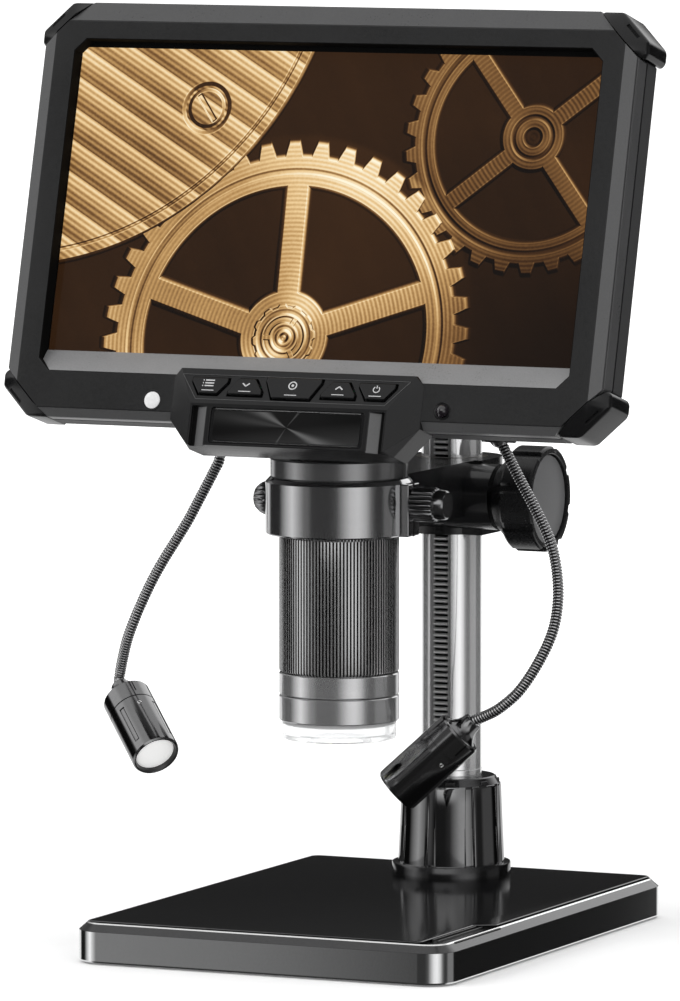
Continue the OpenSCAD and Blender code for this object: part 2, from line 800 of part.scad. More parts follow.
module clamp_screw_left() {
    head_x = ring_r + air;
    rim_l = 1.4;
    color("dimgray") on_lens_axis(clamp_z) rotate([0, -90, 0]) {
        translate([0, 0, spigot_r + 0.2])
            cylinder(d = clamp_d, h = head_x - spigot_r);
        translate([0, 0, head_x]) cylinder(r = thumb_r, h = rim_l);
        translate([0, 0, head_x + rim_l])
            cylinder(r1 = thumb_r, r2 = thumb_r * 0.72, h = (dome_l - rim_l) * 0.6);
        translate([0, 0, head_x + rim_l + (dome_l - rim_l) * 0.6])
            cylinder(r1 = thumb_r * 0.72, r2 = thumb_r * 0.35, h = (dome_l - rim_l) * 0.4);
    }
}

// Head ------------------------------------------------------------------------------------

module head_housing() {
    color("dimgray") difference() {
        union() {
            on_lens_axis(neck_low_z) cylinder(r = neck_r, h = neck_top_z - neck_low_z);
            on_lens_axis(spigot_low_z) cylinder(r = spigot_r, h = neck_top_z - spigot_low_z);
            translate([-knuckle_w / 2, hinge_y - knuckle_r, neck_top_z - sliver])
                cube([knuckle_w, 2 * knuckle_r, hinge_rise + sliver]);
            translate([0, hinge_y, hinge_z]) cross_bar(knuckle_r, knuckle_w);
        }
        on_lens_axis(spigot_low_z - over)
            cylinder(r = head_hollow_r, h = head_hollow_top_z - spigot_low_z + over);
        translate([0, hinge_y, hinge_z]) cross_bar(hinge_pin_d / 2 + fit, knuckle_w + over);
    }
}

module lens_tube() {
    color("dimgray") on_lens_axis(lens_tube_low_z)
        tube(lens_tube_r, lens_tube_r - lens_tube_wall, lens_tube_top_z - lens_tube_low_z);
}

module sensor_board() {
    color("green") on_lens_axis(lens_tube_top_z) cylinder(r = lens_tube_r, h = board_t);
    color("black") on_lens_axis(lens_tube_top_z)
        translate([-sensor_size[0] / 2, -sensor_size[1] / 2, -sensor_size[2]]) cube(sensor_size);
}

module nose_ring_upper() {
    color("dimgray") on_lens_axis(nose_upper_low_z)
        tube(sleeve_r, lens_tube_r + seat, nose_h);
}

module nose_ring_lower() {
    color("dimgray") on_lens_axis(nose_lower_low_z)
        tube(sleeve_r, lens_tube_r + seat, nose_lower_top_z - nose_lower_low_z);
}

module led_board() {
    skirt_r = led_cover_r - led_cover_wall - seat;
    color("black") on_lens_axis(nose_lower_low_z) {
        tube(lens_tube_r, lens_bore_r, led_board_t);
        translate([0, 0, -skirt_h]) tube(skirt_r, skirt_r - skirt_wall, skirt_h);
    }
    color("gold") on_lens_axis(nose_lower_low_z - led_size[2])
        for (i = [0 : led_count - 1]) rotate([0, 0, i * 360 / led_count])
            translate([led_ring_r - led_size[0] / 2, -led_size[1] / 2, 0]) cube(led_size);
}

module led_cover() {
    color("white") on_lens_axis(led_cover_low_z) difference() {
        cylinder(r = led_cover_r, h = led_cover_h);
        translate([0, 0, led_cover_wall])
            cylinder(r = led_cover_r - led_cover_wall, h = led_cover_h);
        translate([0, 0, -over]) cylinder(r = lens_bore_r, h = led_cover_h);
    }
}

// The sleeve's outline: ribs with narrow grooves between them
module focus_sleeve() {
    color("dimgray") on_lens_axis(sleeve_low_z) difference() {
        linear_extrude(sleeve_l) polygon([for (i = [0 : rib_count - 1])
            let (a = i * 360 / rib_count, s = 360 / rib_count) each [
                polar(sleeve_r, a), polar(sleeve_r, a + s * 0.5),
                polar(sleeve_r - rib_depth, a + s * 0.65),
                polar(sleeve_r - rib_depth, a + s * 0.85)]]);
        translate([0, 0, -over]) cylinder(r = lens_tube_r + fit, h = sleeve_l + 2 * over);
    }
}

module lens_carrier() {
    color("black") on_lens_axis(carrier_low_z) tube(carrier_r, carrier_r - carrier_wall, carrier_l);
}

module objective_lens() {
    color("lightblue") for (z = lens_places) on_lens_axis(carrier_low_z + z)
        cylinder(r = carrier_r - carrier_wall - seat, h = lens_t);
}

// Display ---------------------------------------------------------------------------------

// What lies outside a cut across each corner, where a bumper sits
module corner_zones() {
    far = max(side_top, side_low) + over;
    for (x = [-1, 1], y = [-1, 1]) {
        line = bumper_line - (y < 0 ? side_top - side_low : 0);
        translate([0, 0, -2 * display_t]) linear_extrude(4 * display_t)
            polygon([[x * (line - y * y * far), y * far], [x * line, 0],
                [x * (line + far), 0], [x * (line + far), y * far]]);
    }
}

module bezel_solid() {
    hull() {
        section(front_half_w, front_top, front_low, front_cut, 0);
        section(side_half_w - step_inset, front_top + (side_top - front_top) / 3,
            front_low + (side_low - front_low) / 2, corner_cut, -step_t);
        section(side_half_w, side_top, side_low, corner_cut, -border_t);
        section(side_half_w, side_top, side_low, corner_cut, -bezel_t + sliver);
    }
}

module window_cut() {
    hull() {
        section(window_half_w, window_top, window_low + sill_rise / window_depth,
            window_cut, 1);
        section(window_half_w, window_top, window_low - sill_rise, window_cut,
            -window_depth);
    }
}

module front_bezel() {
    color("darkslategray") on_display() difference() {
        bezel_solid();
        window_cut();
        translate([-side_half_w + glass_margin - air, -glass_low - air, -bezel_t - over])
            cube([2 * (side_half_w - glass_margin + air), glass_top + glass_low + 2 * air,
                bezel_t - window_depth + over]);
        shell_screw_places() cylinder(d = shell_screw_d + 2 * seat, h = shell_screw_l + seat);
        corner_zones();
        translate([-window_x, window_y, -bezel_t - over])
            cylinder(r = light_window_r + seat, h = bezel_t + 2 * over);
        translate([window_x, window_y, -bezel_t - over])
            cylinder(r = dome_r + seat, h = bezel_t + 2 * over);
    }
}

// The point at a height of the model and a depth of the display, in the display's frame
function at_depth(z, w) = [(z - display_z - w * sin(lean)) / cos(lean), w];

// The rear housing: a wide foot, a back and a narrower sloped top
module housing_solid(inset) {
    back_y = lens_y + housing_back - inset;
    edge = 3;
    slope = 16;
    shoulder = 5;
    low_z = housing_low_z + inset;
    top_z = housing_low_z + housing_h - inset;
    front_w = -display_t + 2 + inset;
    hull() {
        across(2 * (housing_half_w - inset), [
            at_depth(low_z, front_w), on_screen(back_y - edge, low_z),
            on_screen(back_y, low_z + edge), at_depth(top_z, front_w)]);
        across(2 * (housing_half_w - inset - shoulder), [
            on_screen(back_y, low_z + edge + 1), on_screen(back_y - edge - 1, top_z - slope),
            on_screen(back_y - 4 * edge, top_z), at_depth(low_z + edge + 1, front_w)]);
    }
}

module rear_shell() {
    wall = shell_wall;
    pocket_y = hinge_y - pocket_front;
    color("darkslategray") on_display() difference() {
        union() {
            difference() {
                union() {
                    hull() {
                        section(side_half_w, side_top, side_low, corner_cut, -bezel_t - air);
                        section(side_half_w, side_top, side_low, corner_cut, -display_t + 2.5);
                        section(side_half_w - shell_chamfer, side_top - shell_chamfer,
                            side_low - shell_chamfer, corner_cut, -display_t + sliver);
                    }
                    housing_solid(0);
                }
                hull() {
                    section(side_half_w - wall, side_top - wall, side_low - wall,
                        corner_cut, -bezel_t + over);
                    section(side_half_w - wall, side_top - wall, side_low - wall,
                        corner_cut, -display_t + wall);
                }
                housing_solid(wall);
            }
            intersection() {
                in_model() translate([-pocket_half_w - wall, pocket_y - wall, hinge_z - pocket_rim])
                    cube([2 * (pocket_half_w + wall),
                        pocket_front + pocket_rear + 2 * wall,
                        pocket_top_z + wall - hinge_z + pocket_rim]);
                housing_solid(0);
            }
        }
        in_model() translate([-pocket_half_w, pocket_y, hinge_z - pocket_open])
            cube([2 * pocket_half_w, pocket_front + pocket_rear, pocket_top_z - hinge_z + pocket_open]);
        corner_zones();
        shell_screw_places() {
            translate([0, 0, -over]) cylinder(d = shell_head_d + 2 * seat, h = shell_head_h + over);
            cylinder(d = shell_screw_d + 2 * seat, h = display_t);
        }
        port_space(usb_y, usb_size, seat);
        port_space(card_y, card_size, seat);
    }
}

// The right upper bumper; the others are its mirror images
module bumper(top) {
    line = bumper_line + top - side_top + seat;
    out = side_half_w + bumper_proud;
    end_y = line - side_half_w;
    ridge_x = side_half_w - bumper_inset;
    hull() {
        translate([0, 0, -sliver]) linear_extrude(sliver) polygon([
            [line - top + bumper_ridge, top - bumper_ridge],
            [line - top + bumper_ridge + 0.2, top - bumper_ridge],
            [ridge_x, line - ridge_x + 0.2], [ridge_x, line - ridge_x]]);
        translate([0, 0, -display_t]) linear_extrude(display_t - border_t) polygon([
            [line - top + air, top], [out - bumper_edge, top], [out, top - bumper_edge],
            [out, end_y + bumper_proud], [side_half_w + 0.2, end_y + air]]);
    }
}

module corner_bumpers() {
    color("black") on_display() for (x = [0, 1], y = [0, 1]) {
        top = y == 0 ? side_top : side_low;
        mirror([x, 0, 0]) mirror([0, y, 0]) difference() {
            bumper(top);
            translate([side_half_w - slit_inset[0], top - slit_inset[1], -slit[2] - over])
                rotate([0, 0, -45]) translate([-slit[0] / 2, -slit[1] / 2, 0])
                    cube([slit[0], slit[1], slit[2] + 2 * over]);
        }
    }
}

module screen_glass() {
    color("black") on_display()
        translate([-side_half_w + glass_margin, -glass_low, -window_depth - glass_t])
            cube([2 * (side_half_w - glass_margin), glass_top + glass_low, glass_t]);
}

module lcd_module() {
    color("gray") on_display()
        translate([-lcd_half_w, -lcd_low, -window_depth - glass_t - lcd_t])
            cube([2 * lcd_half_w, lcd_top + lcd_low, lcd_t]);
}

module main_board() {
    color("green") on_display()
        translate([-board_left, -board_low, port_depth])
            cube([board_left + board_right, board_top + board_low, board_t]);
}

module battery_pack() {
    color("silver") translate([-battery_size[0] / 2, hinge_y + 3, pocket_top_z + shell_wall])
        cube(battery_size);
}

// Where the screws that join the display's shells start, at its back
module shell_screw_places() {
    for (x = [-1, 1], y = shell_screw_y)
        translate([x * shell_screw_x, y, -display_t]) children();
}

module shell_screws() {
    color("silver") on_display() shell_screw_places() {
        cylinder(d = shell_head_d, h = shell_head_h);
        cylinder(d = shell_screw_d, h = shell_screw_l);
    }
}

// Control pod -----------------------------------------------------------------------------

module pod_solid() {
    hull() {
        linear_extrude(sliver) polygon([
            [-pod_half_w, -pod_top - 3], [-pod_half_w + 2, -pod_top],
            [pod_half_w - 2, -pod_top], [pod_half_w, -pod_top - 3],
            [pod_half_w, -side_low], [pod_half_w - 7, -pod_low], [-pod_half_w + 7, -pod_low],
            [-pod_half_w, -side_low]]);
        translate([0, 0, key_face_top_w - sliver]) linear_extrude(sliver) polygon([
            [-pod_half_w + 2.4, -pod_top - 0.4], [pod_half_w - 2.4, -pod_top - 0.4],
            [pod_half_w - 2.4, -pod_top - 0.6], [-pod_half_w + 2.4, -pod_top - 0.6]]);
        translate([0, 0, pod_proud - sliver]) linear_extrude(sliver) polygon([
            [-pod_face_half_w, -pod_break], [pod_face_half_w, -pod_break],
            [pod_face_half_w, -pod_low + 0.8], [-pod_face_half_w, -pod_low + 0.8]]);
    }
    translate([0, 0, -pod_lip]) linear_extrude(pod_lip + sliver) polygon([
        [pod_half_w, -side_low - seat], [pod_half_w - 7, -pod_low],
        [-pod_half_w + 7, -pod_low], [-pod_half_w, -side_low - seat]]);
}

// In the plane of the keys' sloped face, which passes through the pod's break line
module on_key_face() {
    translate([0, -pod_break, pod_proud]) rotate([-key_lean, 0, 0])
        translate([0, pod_break, 0]) children();
}

// A key's outline: wider at the top, or at the bottom where flip is -1
module key_outline(x, half_w, h, flip, gap) {
    shrink = 2;
    translate([x, key_y]) polygon([
        [-half_w - gap, flip * (h / 2 + gap)], [half_w + gap, flip * (h / 2 + gap)],
        [half_w + gap, flip * (h / 2 - 1)], [half_w - shrink + gap, -flip * (h / 2 + gap)],
        [-half_w + shrink - gap, -flip * (h / 2 + gap)], [-half_w - gap, flip * (h / 2 - 1)]]);
}

// The five keys, as place, half width, height and which way up
KEYS = [[-key_outer_x, 5.2, key_h, 1], [-key_inner_x, 4.9, key_h, -1], [0, 8, ok_h, 1],
    [key_inner_x, 4.9, key_h, -1], [key_outer_x, 5.2, key_h, 1]];

module pod_shell() {
    color("dimgray") on_display() difference() {
        pod_solid();
        on_key_face() for (k = KEYS) translate([0, 0, -key_t - 0.4])
            linear_extrude(key_t + 2) key_outline(k[0], k[1], k[2], k[3], key_gap);
        translate([-plate_half_w - seat, plate_y - plate_h / 2 - seat, pod_proud - plate_t])
            cube([2 * (plate_half_w + seat), plate_h + 2 * seat, plate_t + over]);
        translate([-key_board_w / 2 - air, key_board_low - air, -over])
            cube([key_board_w + 2 * air, key_board_h + 2 * air, key_board_t + over]);
    }
}

module pod_plate() {
    color("black") on_display()
        translate([-plate_half_w, plate_y - plate_h / 2, pod_proud - plate_t])
            cube([2 * plate_half_w, plate_h, plate_t]);
}

module key_board() {
    color("green") on_display() translate([-key_board_w / 2, key_board_low, 0])
        cube([key_board_w, key_board_h, key_board_t]);
}

module key(k) {
    color("black") on_display() on_key_face() translate([0, 0, -key_t + key_travel + 0.3])
        linear_extrude(key_t - key_travel - 0.3 + key_proud)
            key_outline(k[0], k[1], k[2], k[3], 0);
}

module key_menu() {
    key(KEYS[0]);
}

module key_down() {
    key(KEYS[1]);
}

module key_ok() {
    key(KEYS[2]);
}

module key_up() {
    key(KEYS[3]);
}

module key_power() {
    key(KEYS[4]);
}

module light_window() {
    color("white") on_display() translate([-window_x, window_y, -bezel_t + 0.5])
        cylinder(r = light_window_r, h = bezel_t - 0.3);
}

module sensor_dome() {
    color("black") on_display() translate([window_x, window_y, -bezel_t + 0.5]) {
        cylinder(r = dome_r, h = bezel_t - 0.5);
        translate([0, 0, bezel_t - 0.5]) intersection() {
            sphere(r = dome_r);
            cylinder(r = 2 * dome_r, h = dome_r);
        }
    }
}

// The block that a port fills in the left wall, grown by a gap
module port_space(y, size, gap) {
    translate([-side_half_w + port_inset - gap * 50, y - gap, port_depth - size[2] - gap])
        cube([size[0] + gap * 50, size[1] + 2 * gap, size[2] + 2 * gap]);
}

// The hollow of a port, open at the display's side
module port_mouth(y, size, wall, depth) {
    translate([-side_half_w - over, y + wall, port_depth - size[2] + wall])
        cube([depth + port_inset + over, size[1] - 2 * wall, size[2] - 2 * wall]);
}

module usb_port() {
    color("silver") on_display() difference() {
        port_space(usb_y, usb_size, 0);
        port_mouth(usb_y, usb_size, usb_wall, usb_size[0] - 1.5);
    }
}

module card_slot() {
    color("silver") on_display() difference() {
        port_space(card_y, card_size, 0);
        port_mouth(card_y, card_size, card_wall, card_size[0] - 2);
    }
}

module hinge_bracket() {
    plate_t = 2;
    ear_x = knuckle_w / 2 + air;
    color("gray") difference() {
        union() {
            translate([-ear_x - ear_t, hinge_y - pocket_front + air, pocket_top_z - plate_t])
                cube([2 * (ear_x + ear_t), pocket_front + pocket_rear - 2 * air, plate_t]);
            for (x = [-1, 1]) {
                translate([x * (ear_x + ear_t / 2), hinge_y, hinge_z])
                    cross_bar(knuckle_r, ear_t);
                translate([x * (ear_x + ear_t / 2) - ear_t / 2, hinge_y - knuckle_r, hinge_z])
                    cube([ear_t, 2 * knuckle_r, pocket_top_z - hinge_z - plate_t / 2]);
            }
        }
        translate([0, hinge_y, hinge_z]) cross_bar(hinge_pin_d / 2 + seat, 4 * knuckle_w);
    }
}

module hinge_pin() {
    color("silver") translate([0, hinge_y, hinge_z])
        cross_bar(hinge_pin_d / 2, knuckle_w + 2 * (air + ear_t) + 2);
}

// Side lamps ------------------------------------------------------------------------------

module lamp_sockets() {
    color("black") for (x = [-1, 1]) translate([x * socket_x, socket_y, socket_z]) difference() {
        union() {
            translate([0, 0, -socket_lip])
                cylinder(r = socket_r, h = housing_low_z - socket_z + socket_lip);
            cross_bar(tension_screw_r, 2 * (socket_r + tension_screw_proud));
        }
        sphere(r = lamp_ball_r + ball_gap);
    }
}

// A point of a smooth curve through four points in a row
function spline(p0, p1, p2, p3, t) = 0.5 * (2 * p1 + (p2 - p0) * t
    + (2 * p0 - 5 * p1 + 4 * p2 - p3) * t * t + (3 * p1 - p0 - 3 * p2 + p3) * t * t * t);

// The curve through all points, with even steps between each pair
function smooth_path(p) = let (n = len(p)) [for (i = [0 : n - 2], s = [0 : path_steps - 1])
    spline(p[max(i - 1, 0)], p[i], p[i + 1], p[min(i + 2, n - 1)], s / path_steps)];

function unit(v) = v / norm(v);

// A tube along a path with a radius at each point, closed at both ends
module swept_tube(path, radii) {
    n = len(path);
    rings = [for (i = [0 : n - 1])
        let (t = unit(path[min(i + 1, n - 1)] - path[max(i - 1, 0)]),
             side = unit(cross(t, [0, 1, 0])), up = cross(side, t))
        [for (k = [0 : path_sides - 1]) let (a = k * 360 / path_sides)
            path[i] + radii[i] * (side * cos(a) + up * sin(a))]];
    polyhedron(points = [for (ring = rings) each ring], faces = concat(
        [[for (k = [path_sides - 1 : -1 : 0]) k]],
        [[for (k = [0 : path_sides - 1]) (n - 1) * path_sides + k]],
        [for (i = [0 : n - 2], k = [0 : path_sides - 1])
            let (a = i * path_sides + k, b = i * path_sides + (k + 1) % path_sides)
            each [[a, b, b + path_sides], [a, b + path_sides, a + path_sides]]]));
}

// A gooseneck: a ball on its upper end, then a tube to the lamp's ferrule
module gooseneck(path) {
    start = unit(path[1] - path[0]);
    leave = sqrt(lamp_ball_r * lamp_ball_r - neck_tube_r * neck_tube_r);
    tube_points = concat([path[0] + leave * start], [for (i = [1 : len(path) - 1]) path[i]]);
    line = concat(smooth_path(tube_points), [path[len(path) - 1]]);
    color("dimgray") swept_tube(
        concat([for (a = ball_rings) path[0] - lamp_ball_r * cos(a) * start], line),
        concat([for (a = ball_rings) lamp_ball_r * sin(a)], [for (q = line) neck_tube_r]));
}

module gooseneck_left() {
    gooseneck(path_left);
}

module gooseneck_right() {
    gooseneck(path_right);
}

// In a lamp's own frame: z runs along its beam, from the ferrule's narrow end
module on_lamp(path, aim) {
    yaw = atan2(aim[1], aim[0]);
    dip = acos(aim[2] / norm(aim));
    translate(path[len(path) - 1]) rotate([0, dip, yaw]) children();
}

module lamp_housing(path, aim) {
    color("dimgray") on_lamp(path, aim) difference() {
        union() {
            cylinder(r1 = ferrule_r, r2 = ferrule_r + 0.8, h = ferrule_l / 2);
            translate([0, 0, ferrule_l / 2])
                cylinder(r1 = ferrule_r + 0.8, r2 = lamp_r * 0.78, h = ferrule_l / 2);
            translate([0, 0, ferrule_l]) cylinder(r = lamp_r, h = lamp_l);
        }
        translate([0, 0, -over])
            cylinder(r = neck_tube_r + air, h = ferrule_bore_l + over);
        translate([0, 0, ferrule_l + lamp_l - lamp_lens_t - lens_recess])
            cylinder(r = lamp_r - lamp_wall, h = lamp_lens_t + lens_recess + over);
    }
}

module lamp_lens(path, aim) {
    color("white") on_lamp(path, aim)
        translate([0, 0, ferrule_l + lamp_l - lamp_lens_t - lens_recess])
            cylinder(r = lamp_r - lamp_wall - seat, h = lamp_lens_t);
}

module lamp_left_housing() {
    lamp_housing(path_left, aim_left);
}

module lamp_left_lens() {
    lamp_lens(path_left, aim_left);
}

module lamp_right_housing() {
    lamp_housing(path_right, aim_right);
}

module lamp_right_lens() {
    lamp_lens(path_right, aim_right);
}

base_shell();
base_panel();
base_cover();
base_feet();
base_screws();
column_collar();
column_bolt();
column_rod();
column_rack();
column_cap();
carriage_body();
column_bushes();
shaft_bushes();
holder_ring();
ring_screws();
pinion_shaft();
knob_left();
knob_right();
knob_caps();
clamp_screw_right();
clamp_screw_left();
head_housing();
lens_tube();
sensor_board();
nose_ring_upper();
nose_ring_lower();
led_board();
led_cover();
focus_sleeve();
lens_carrier();
objective_lens();
front_bezel();
rear_shell();
corner_bumpers();
screen_glass();
lcd_module();
main_board();
battery_pack();
shell_screws();
pod_shell();
pod_plate();
key_board();
key_menu();
key_down();
key_ok();
key_up();
key_power();
light_window();
sensor_dome();
usb_port();
card_slot();
hinge_bracket();
hinge_pin();
lamp_sockets();
gooseneck_left();
lamp_left_housing();
lamp_left_lens();
gooseneck_right();
lamp_right_housing();
lamp_right_lens();
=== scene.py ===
"""Looks of a digital microscope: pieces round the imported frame, finishes, studio, camera."""

import json
from functools import partialmethod
from math import asin, atan, atan2, ceil, cos, degrees, floor, hypot, pi, radians, sin

import bmesh
import bpy
from mathutils import Matrix, Vector


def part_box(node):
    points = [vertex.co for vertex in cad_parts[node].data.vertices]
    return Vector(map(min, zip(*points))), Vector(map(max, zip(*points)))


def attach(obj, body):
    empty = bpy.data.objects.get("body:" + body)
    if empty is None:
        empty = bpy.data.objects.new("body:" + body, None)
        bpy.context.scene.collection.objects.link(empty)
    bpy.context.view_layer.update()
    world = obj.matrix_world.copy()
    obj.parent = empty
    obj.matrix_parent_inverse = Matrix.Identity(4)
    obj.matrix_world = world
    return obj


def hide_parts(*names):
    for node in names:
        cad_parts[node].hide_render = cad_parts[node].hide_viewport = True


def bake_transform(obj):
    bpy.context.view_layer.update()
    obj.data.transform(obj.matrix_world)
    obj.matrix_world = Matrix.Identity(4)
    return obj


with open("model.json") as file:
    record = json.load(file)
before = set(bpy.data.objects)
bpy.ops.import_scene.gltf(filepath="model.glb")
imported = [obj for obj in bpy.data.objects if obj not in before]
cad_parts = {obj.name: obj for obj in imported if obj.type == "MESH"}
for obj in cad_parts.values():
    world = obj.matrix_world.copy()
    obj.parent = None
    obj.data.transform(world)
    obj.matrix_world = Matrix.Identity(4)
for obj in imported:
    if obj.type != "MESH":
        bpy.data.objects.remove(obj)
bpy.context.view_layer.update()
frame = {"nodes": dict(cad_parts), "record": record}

RECORD = frame["record"]
BODY_OF = {node: body for body, nodes in RECORD["behaviour"]["bodies"].items() for node in nodes}
SLOT_OF = {row["node"]: row["material_slot"] for row in RECORD["subparts"]}
MM = 0.001
WELD = 0.000002
TURN = 2 * pi


# ---- Shader helpers

class Field:
    """A number that a shader works out at each point; arithmetic on it adds Math nodes."""

    def __init__(self, tree, socket):
        self.tree = tree
        self.socket = socket

    def math(self, operation, *others):
        made = self.tree.nodes.new("ShaderNodeMath")
        made.operation = operation
        for place, value in enumerate((self,) + others):
            if isinstance(value, Field):
                self.tree.links.new(value.socket, made.inputs[place])
            else:
                made.inputs[place].default_value = value
        return Field(self.tree, made.outputs[0])

    def step(self, low, high):
        """0 below low, 1 above high, smooth between them; falls where high is below low."""
        made = self.tree.nodes.new("ShaderNodeMapRange")
        made.interpolation_type = "SMOOTHSTEP"
        self.tree.links.new(self.socket, made.inputs["Value"])
        rising = low < high
        for name, value in (("From Min", min(low, high)), ("From Max", max(low, high)),
                            ("To Min", 0 if rising else 1), ("To Max", 1 if rising else 0)):
            made.inputs[name].default_value = value
        return Field(self.tree, made.outputs["Result"])


for word, operation in (
        ("__add__", "ADD"), ("__sub__", "SUBTRACT"), ("__mul__", "MULTIPLY"),
        ("__truediv__", "DIVIDE"), ("sin", "SINE"), ("abs", "ABSOLUTE"), ("power", "POWER"),
        ("highest", "MAXIMUM"), ("lowest", "MINIMUM")):
    setattr(Field, word, partialmethod(Field.math, operation))


def add_node(tree, kind, inputs=None, **properties):
    made = tree.nodes.new("ShaderNode" + kind)
    for name, value in properties.items():
        setattr(made, name, value)
    for name, value in (inputs or {}).items():
        if isinstance(value, bpy.types.NodeSocket):
            tree.links.new(value, made.inputs[name])
        else:
            made.inputs[name].default_value = value
    return made


def mix(tree, factor, first, second):
    """A colour between two colours or sockets."""
    made = tree.nodes.new("ShaderNodeMix")
    made.data_type = "RGBA"
    for place, value in ((0, factor), (6, first), (7, second)):
        if isinstance(value, bpy.types.NodeSocket):
            tree.links.new(value, made.inputs[place])
        else:
            made.inputs[place].default_value = value
    return made.outputs[2]


def ramp(tree, factor, stops):
    """A colour ramp with the given (place, colour) stops."""
    made = add_node(tree, "ValToRGB", {"Fac": factor})
    elements = made.color_ramp.elements
    while len(elements) < len(stops):
        elements.new(0.5)
    for element, (place, colour) in zip(elements, stops):
        element.position = place
        element.color = (*colour, 1)
    return made.outputs["Color"]


def grey(tone):
    return (tone, tone, tone)


# ---- Finishes

MATERIALS = {}


def new_material(name):
    """Enters a new material in the tables; gives back its node tree and main shader."""
    material = bpy.data.materials.new(name)
    material.use_nodes = True
    MATERIALS[name] = material
    return material.node_tree, material.node_tree.nodes["Principled BSDF"]


def set_inputs(shader, values):
    for name, value in values.items():
        shader.inputs[name].default_value = value


FINE_SHARE, BROAD_SHARE, BROAD_SCALE = 0.6, 0.4, 25
COAT_ROUGH = 0.05


def finish(name, colour, metallic, rough, specular=0.5, coat=0, grain=900,
           stretch=(1, 1, 1), vary=0.12, bump=0.1, depth=0.00003, clear=0, ior=1.5, glow=0):
    """A procedural surface: its tone, roughness and height vary with a noise in the object.

    The colour is a grey, a grey with its own blue, or red, green and blue.
    """
    colour = colour if isinstance(colour, tuple) else (colour, colour)
    colour = colour if len(colour) == 3 else (colour[0], *colour)
    tree, shader = new_material(name)
    place = add_node(tree, "TexCoord").outputs["Object"]
    place = add_node(tree, "Mapping", {"Vector": place, "Scale": stretch}).outputs["Vector"]
    noise = add_node(tree, "TexNoise", {"Vector": place, "Scale": grain, "Detail": 3,
                                        "Roughness": 0.6}).outputs["Fac"]
    broad = add_node(tree, "TexNoise", {"Vector": place, "Scale": grain / BROAD_SCALE,
                                        "Detail": 2}).outputs["Fac"]
    blend = (Field(tree, noise) * FINE_SHARE + Field(tree, broad) * BROAD_SHARE).socket

    def spread(values):
        dark = tuple(v * (1 - vary) for v in values)
        light = tuple(min(1, v * (1 + vary)) for v in values)
        return ramp(tree, blend, [(0.3, dark), (0.7, light)])

    tint = spread(colour)
    tree.links.new(tint, shader.inputs["Base Color"])
    tree.links.new(spread(grey(rough)), shader.inputs["Roughness"])
    if bump > 0:
        height = add_node(tree, "Bump", {"Height": noise, "Strength": bump, "Distance": depth})
        tree.links.new(height.outputs["Normal"], shader.inputs["Normal"])
    set_inputs(shader, {"Metallic": metallic, "Specular IOR Level": specular,
                        "Coat Weight": coat, "Coat Roughness": COAT_ROUGH,
                        "Transmission Weight": clear, "IOR": ior})
    if glow:
        tree.links.new(tint, shader.inputs["Emission Color"])
        shader.inputs["Emission Strength"].default_value = glow


ALONG_Z = (1, 1, 0.02)
ALONG_X = (0.02, 1, 1)

finish("base_side", (0.74, 0.745, 0.75), 1, 0.12, grain=1500, vary=0.03)
# Painted shade: a darker copy of the base metal for the chamfer band
finish("base_band_shaded", (0.075, 0.076), 0.9, 0.18, grain=1500)
finish("base_line", 0.8, 0.9, 0.25, vary=0.04, bump=0.02)
finish("panel_gloss", (0.004, 0.0043), 0, 0.12, specular=0.1, bump=0.01)
# Painted highlight: a lighter grey metal for the panel's edge and the notch's ledges
finish("panel_edge_highlight", (0.12, 0.121), 0.9, 0.3)
finish("rubber", 0.03, 0, 0.8, grain=2500, bump=0.4)
finish("cover_steel", 0.1, 0, 0.5, grain=2500, bump=0.3)
finish("screw_steel", (0.45, 0.46), 1, 0.3)
finish("collar_gloss", (0.2, 0.202), 1, 0.07, vary=0.04, bump=0.02)
finish("flange_black", (0.06, 0.061), 0.9, 0.12, bump=0.02)
finish("column_chrome", (0.9, 0.905), 0.75, 0.1, vary=0.02, stretch=ALONG_Z, bump=0.02)
finish("slot_steel", 0.4, 1, 0.35, stretch=ALONG_Z)
finish("rack_steel", 0.7, 0.7, 0.3, stretch=ALONG_X, bump=0.2)
finish("carriage_black", (0.008, 0.0085), 0, 0.2, coat=0.15, bump=0.05)
finish("bush_bronze", (0.06, 0.052, 0.04), 0.7, 0.35)
finish("knob_black", (0.008, 0.0085), 0, 0.28, specular=0.4, bump=0.03)
finish("knob_cap", (0.17, 0.173), 0.3, 0.4, grain=1200, vary=0.06)
finish("knurl_dark", (0.25, 0.255), 1, 0.22)
finish("barrel_dark", (0.24, 0.243), 0.8, 0.16, vary=0.04, grain=1500, stretch=(1, 1, 6),
       bump=0.05)
finish("ring_dark", (0.44, 0.445), 0.96, 0.11, vary=0.04, grain=1500,
       stretch=(1, 1, 6), bump=0.05)
finish("nose_metal", (0.55, 0.555), 0.82, 0.14, vary=0.04, grain=1500,
       stretch=(1, 1, 6), bump=0.05)
finish("sleeve_dark", (0.5, 0.502), 0.85, 0.2, vary=0.04, bump=0.02)
finish("board_green", (0.02, 0.14, 0.06), 0, 0.35, coat=0.3)
finish("board_black", (0.015, 0.016), 0, 0.4)
finish("clear_cover", (0.97, 0.975, 0.98), 0, 0.06, clear=0.75, ior=1.25, vary=0.01, bump=0,
       glow=0.12)
finish("lens_glass", (0.8, 0.88, 0.97), 0, 0.02, clear=1, vary=0.01, bump=0)
finish("carrier_black", 0.02, 0, 0.6)
finish("bezel_black", (0.009, 0.0093), 0, 0.42, specular=0.4, grain=1100, vary=0.2, bump=0.5,
       depth=0.00008)
# Painted light: a lighter copy of the bezel's black for its chamfer and lip
finish("bezel_edge_lit", (0.055, 0.056), 0, 0.3, grain=1800, bump=0.15)
finish("sill_grey", (0.2, 0.202), 0, 0.3, grain=2400, bump=0.1)
finish("shell_black", (0.022, 0.023), 0, 0.5, specular=0.4, grain=2000, bump=0.45)
finish("bumper_black", (0.006, 0.0063), 0, 0.18, specular=0.32, grain=2400, bump=0.08)
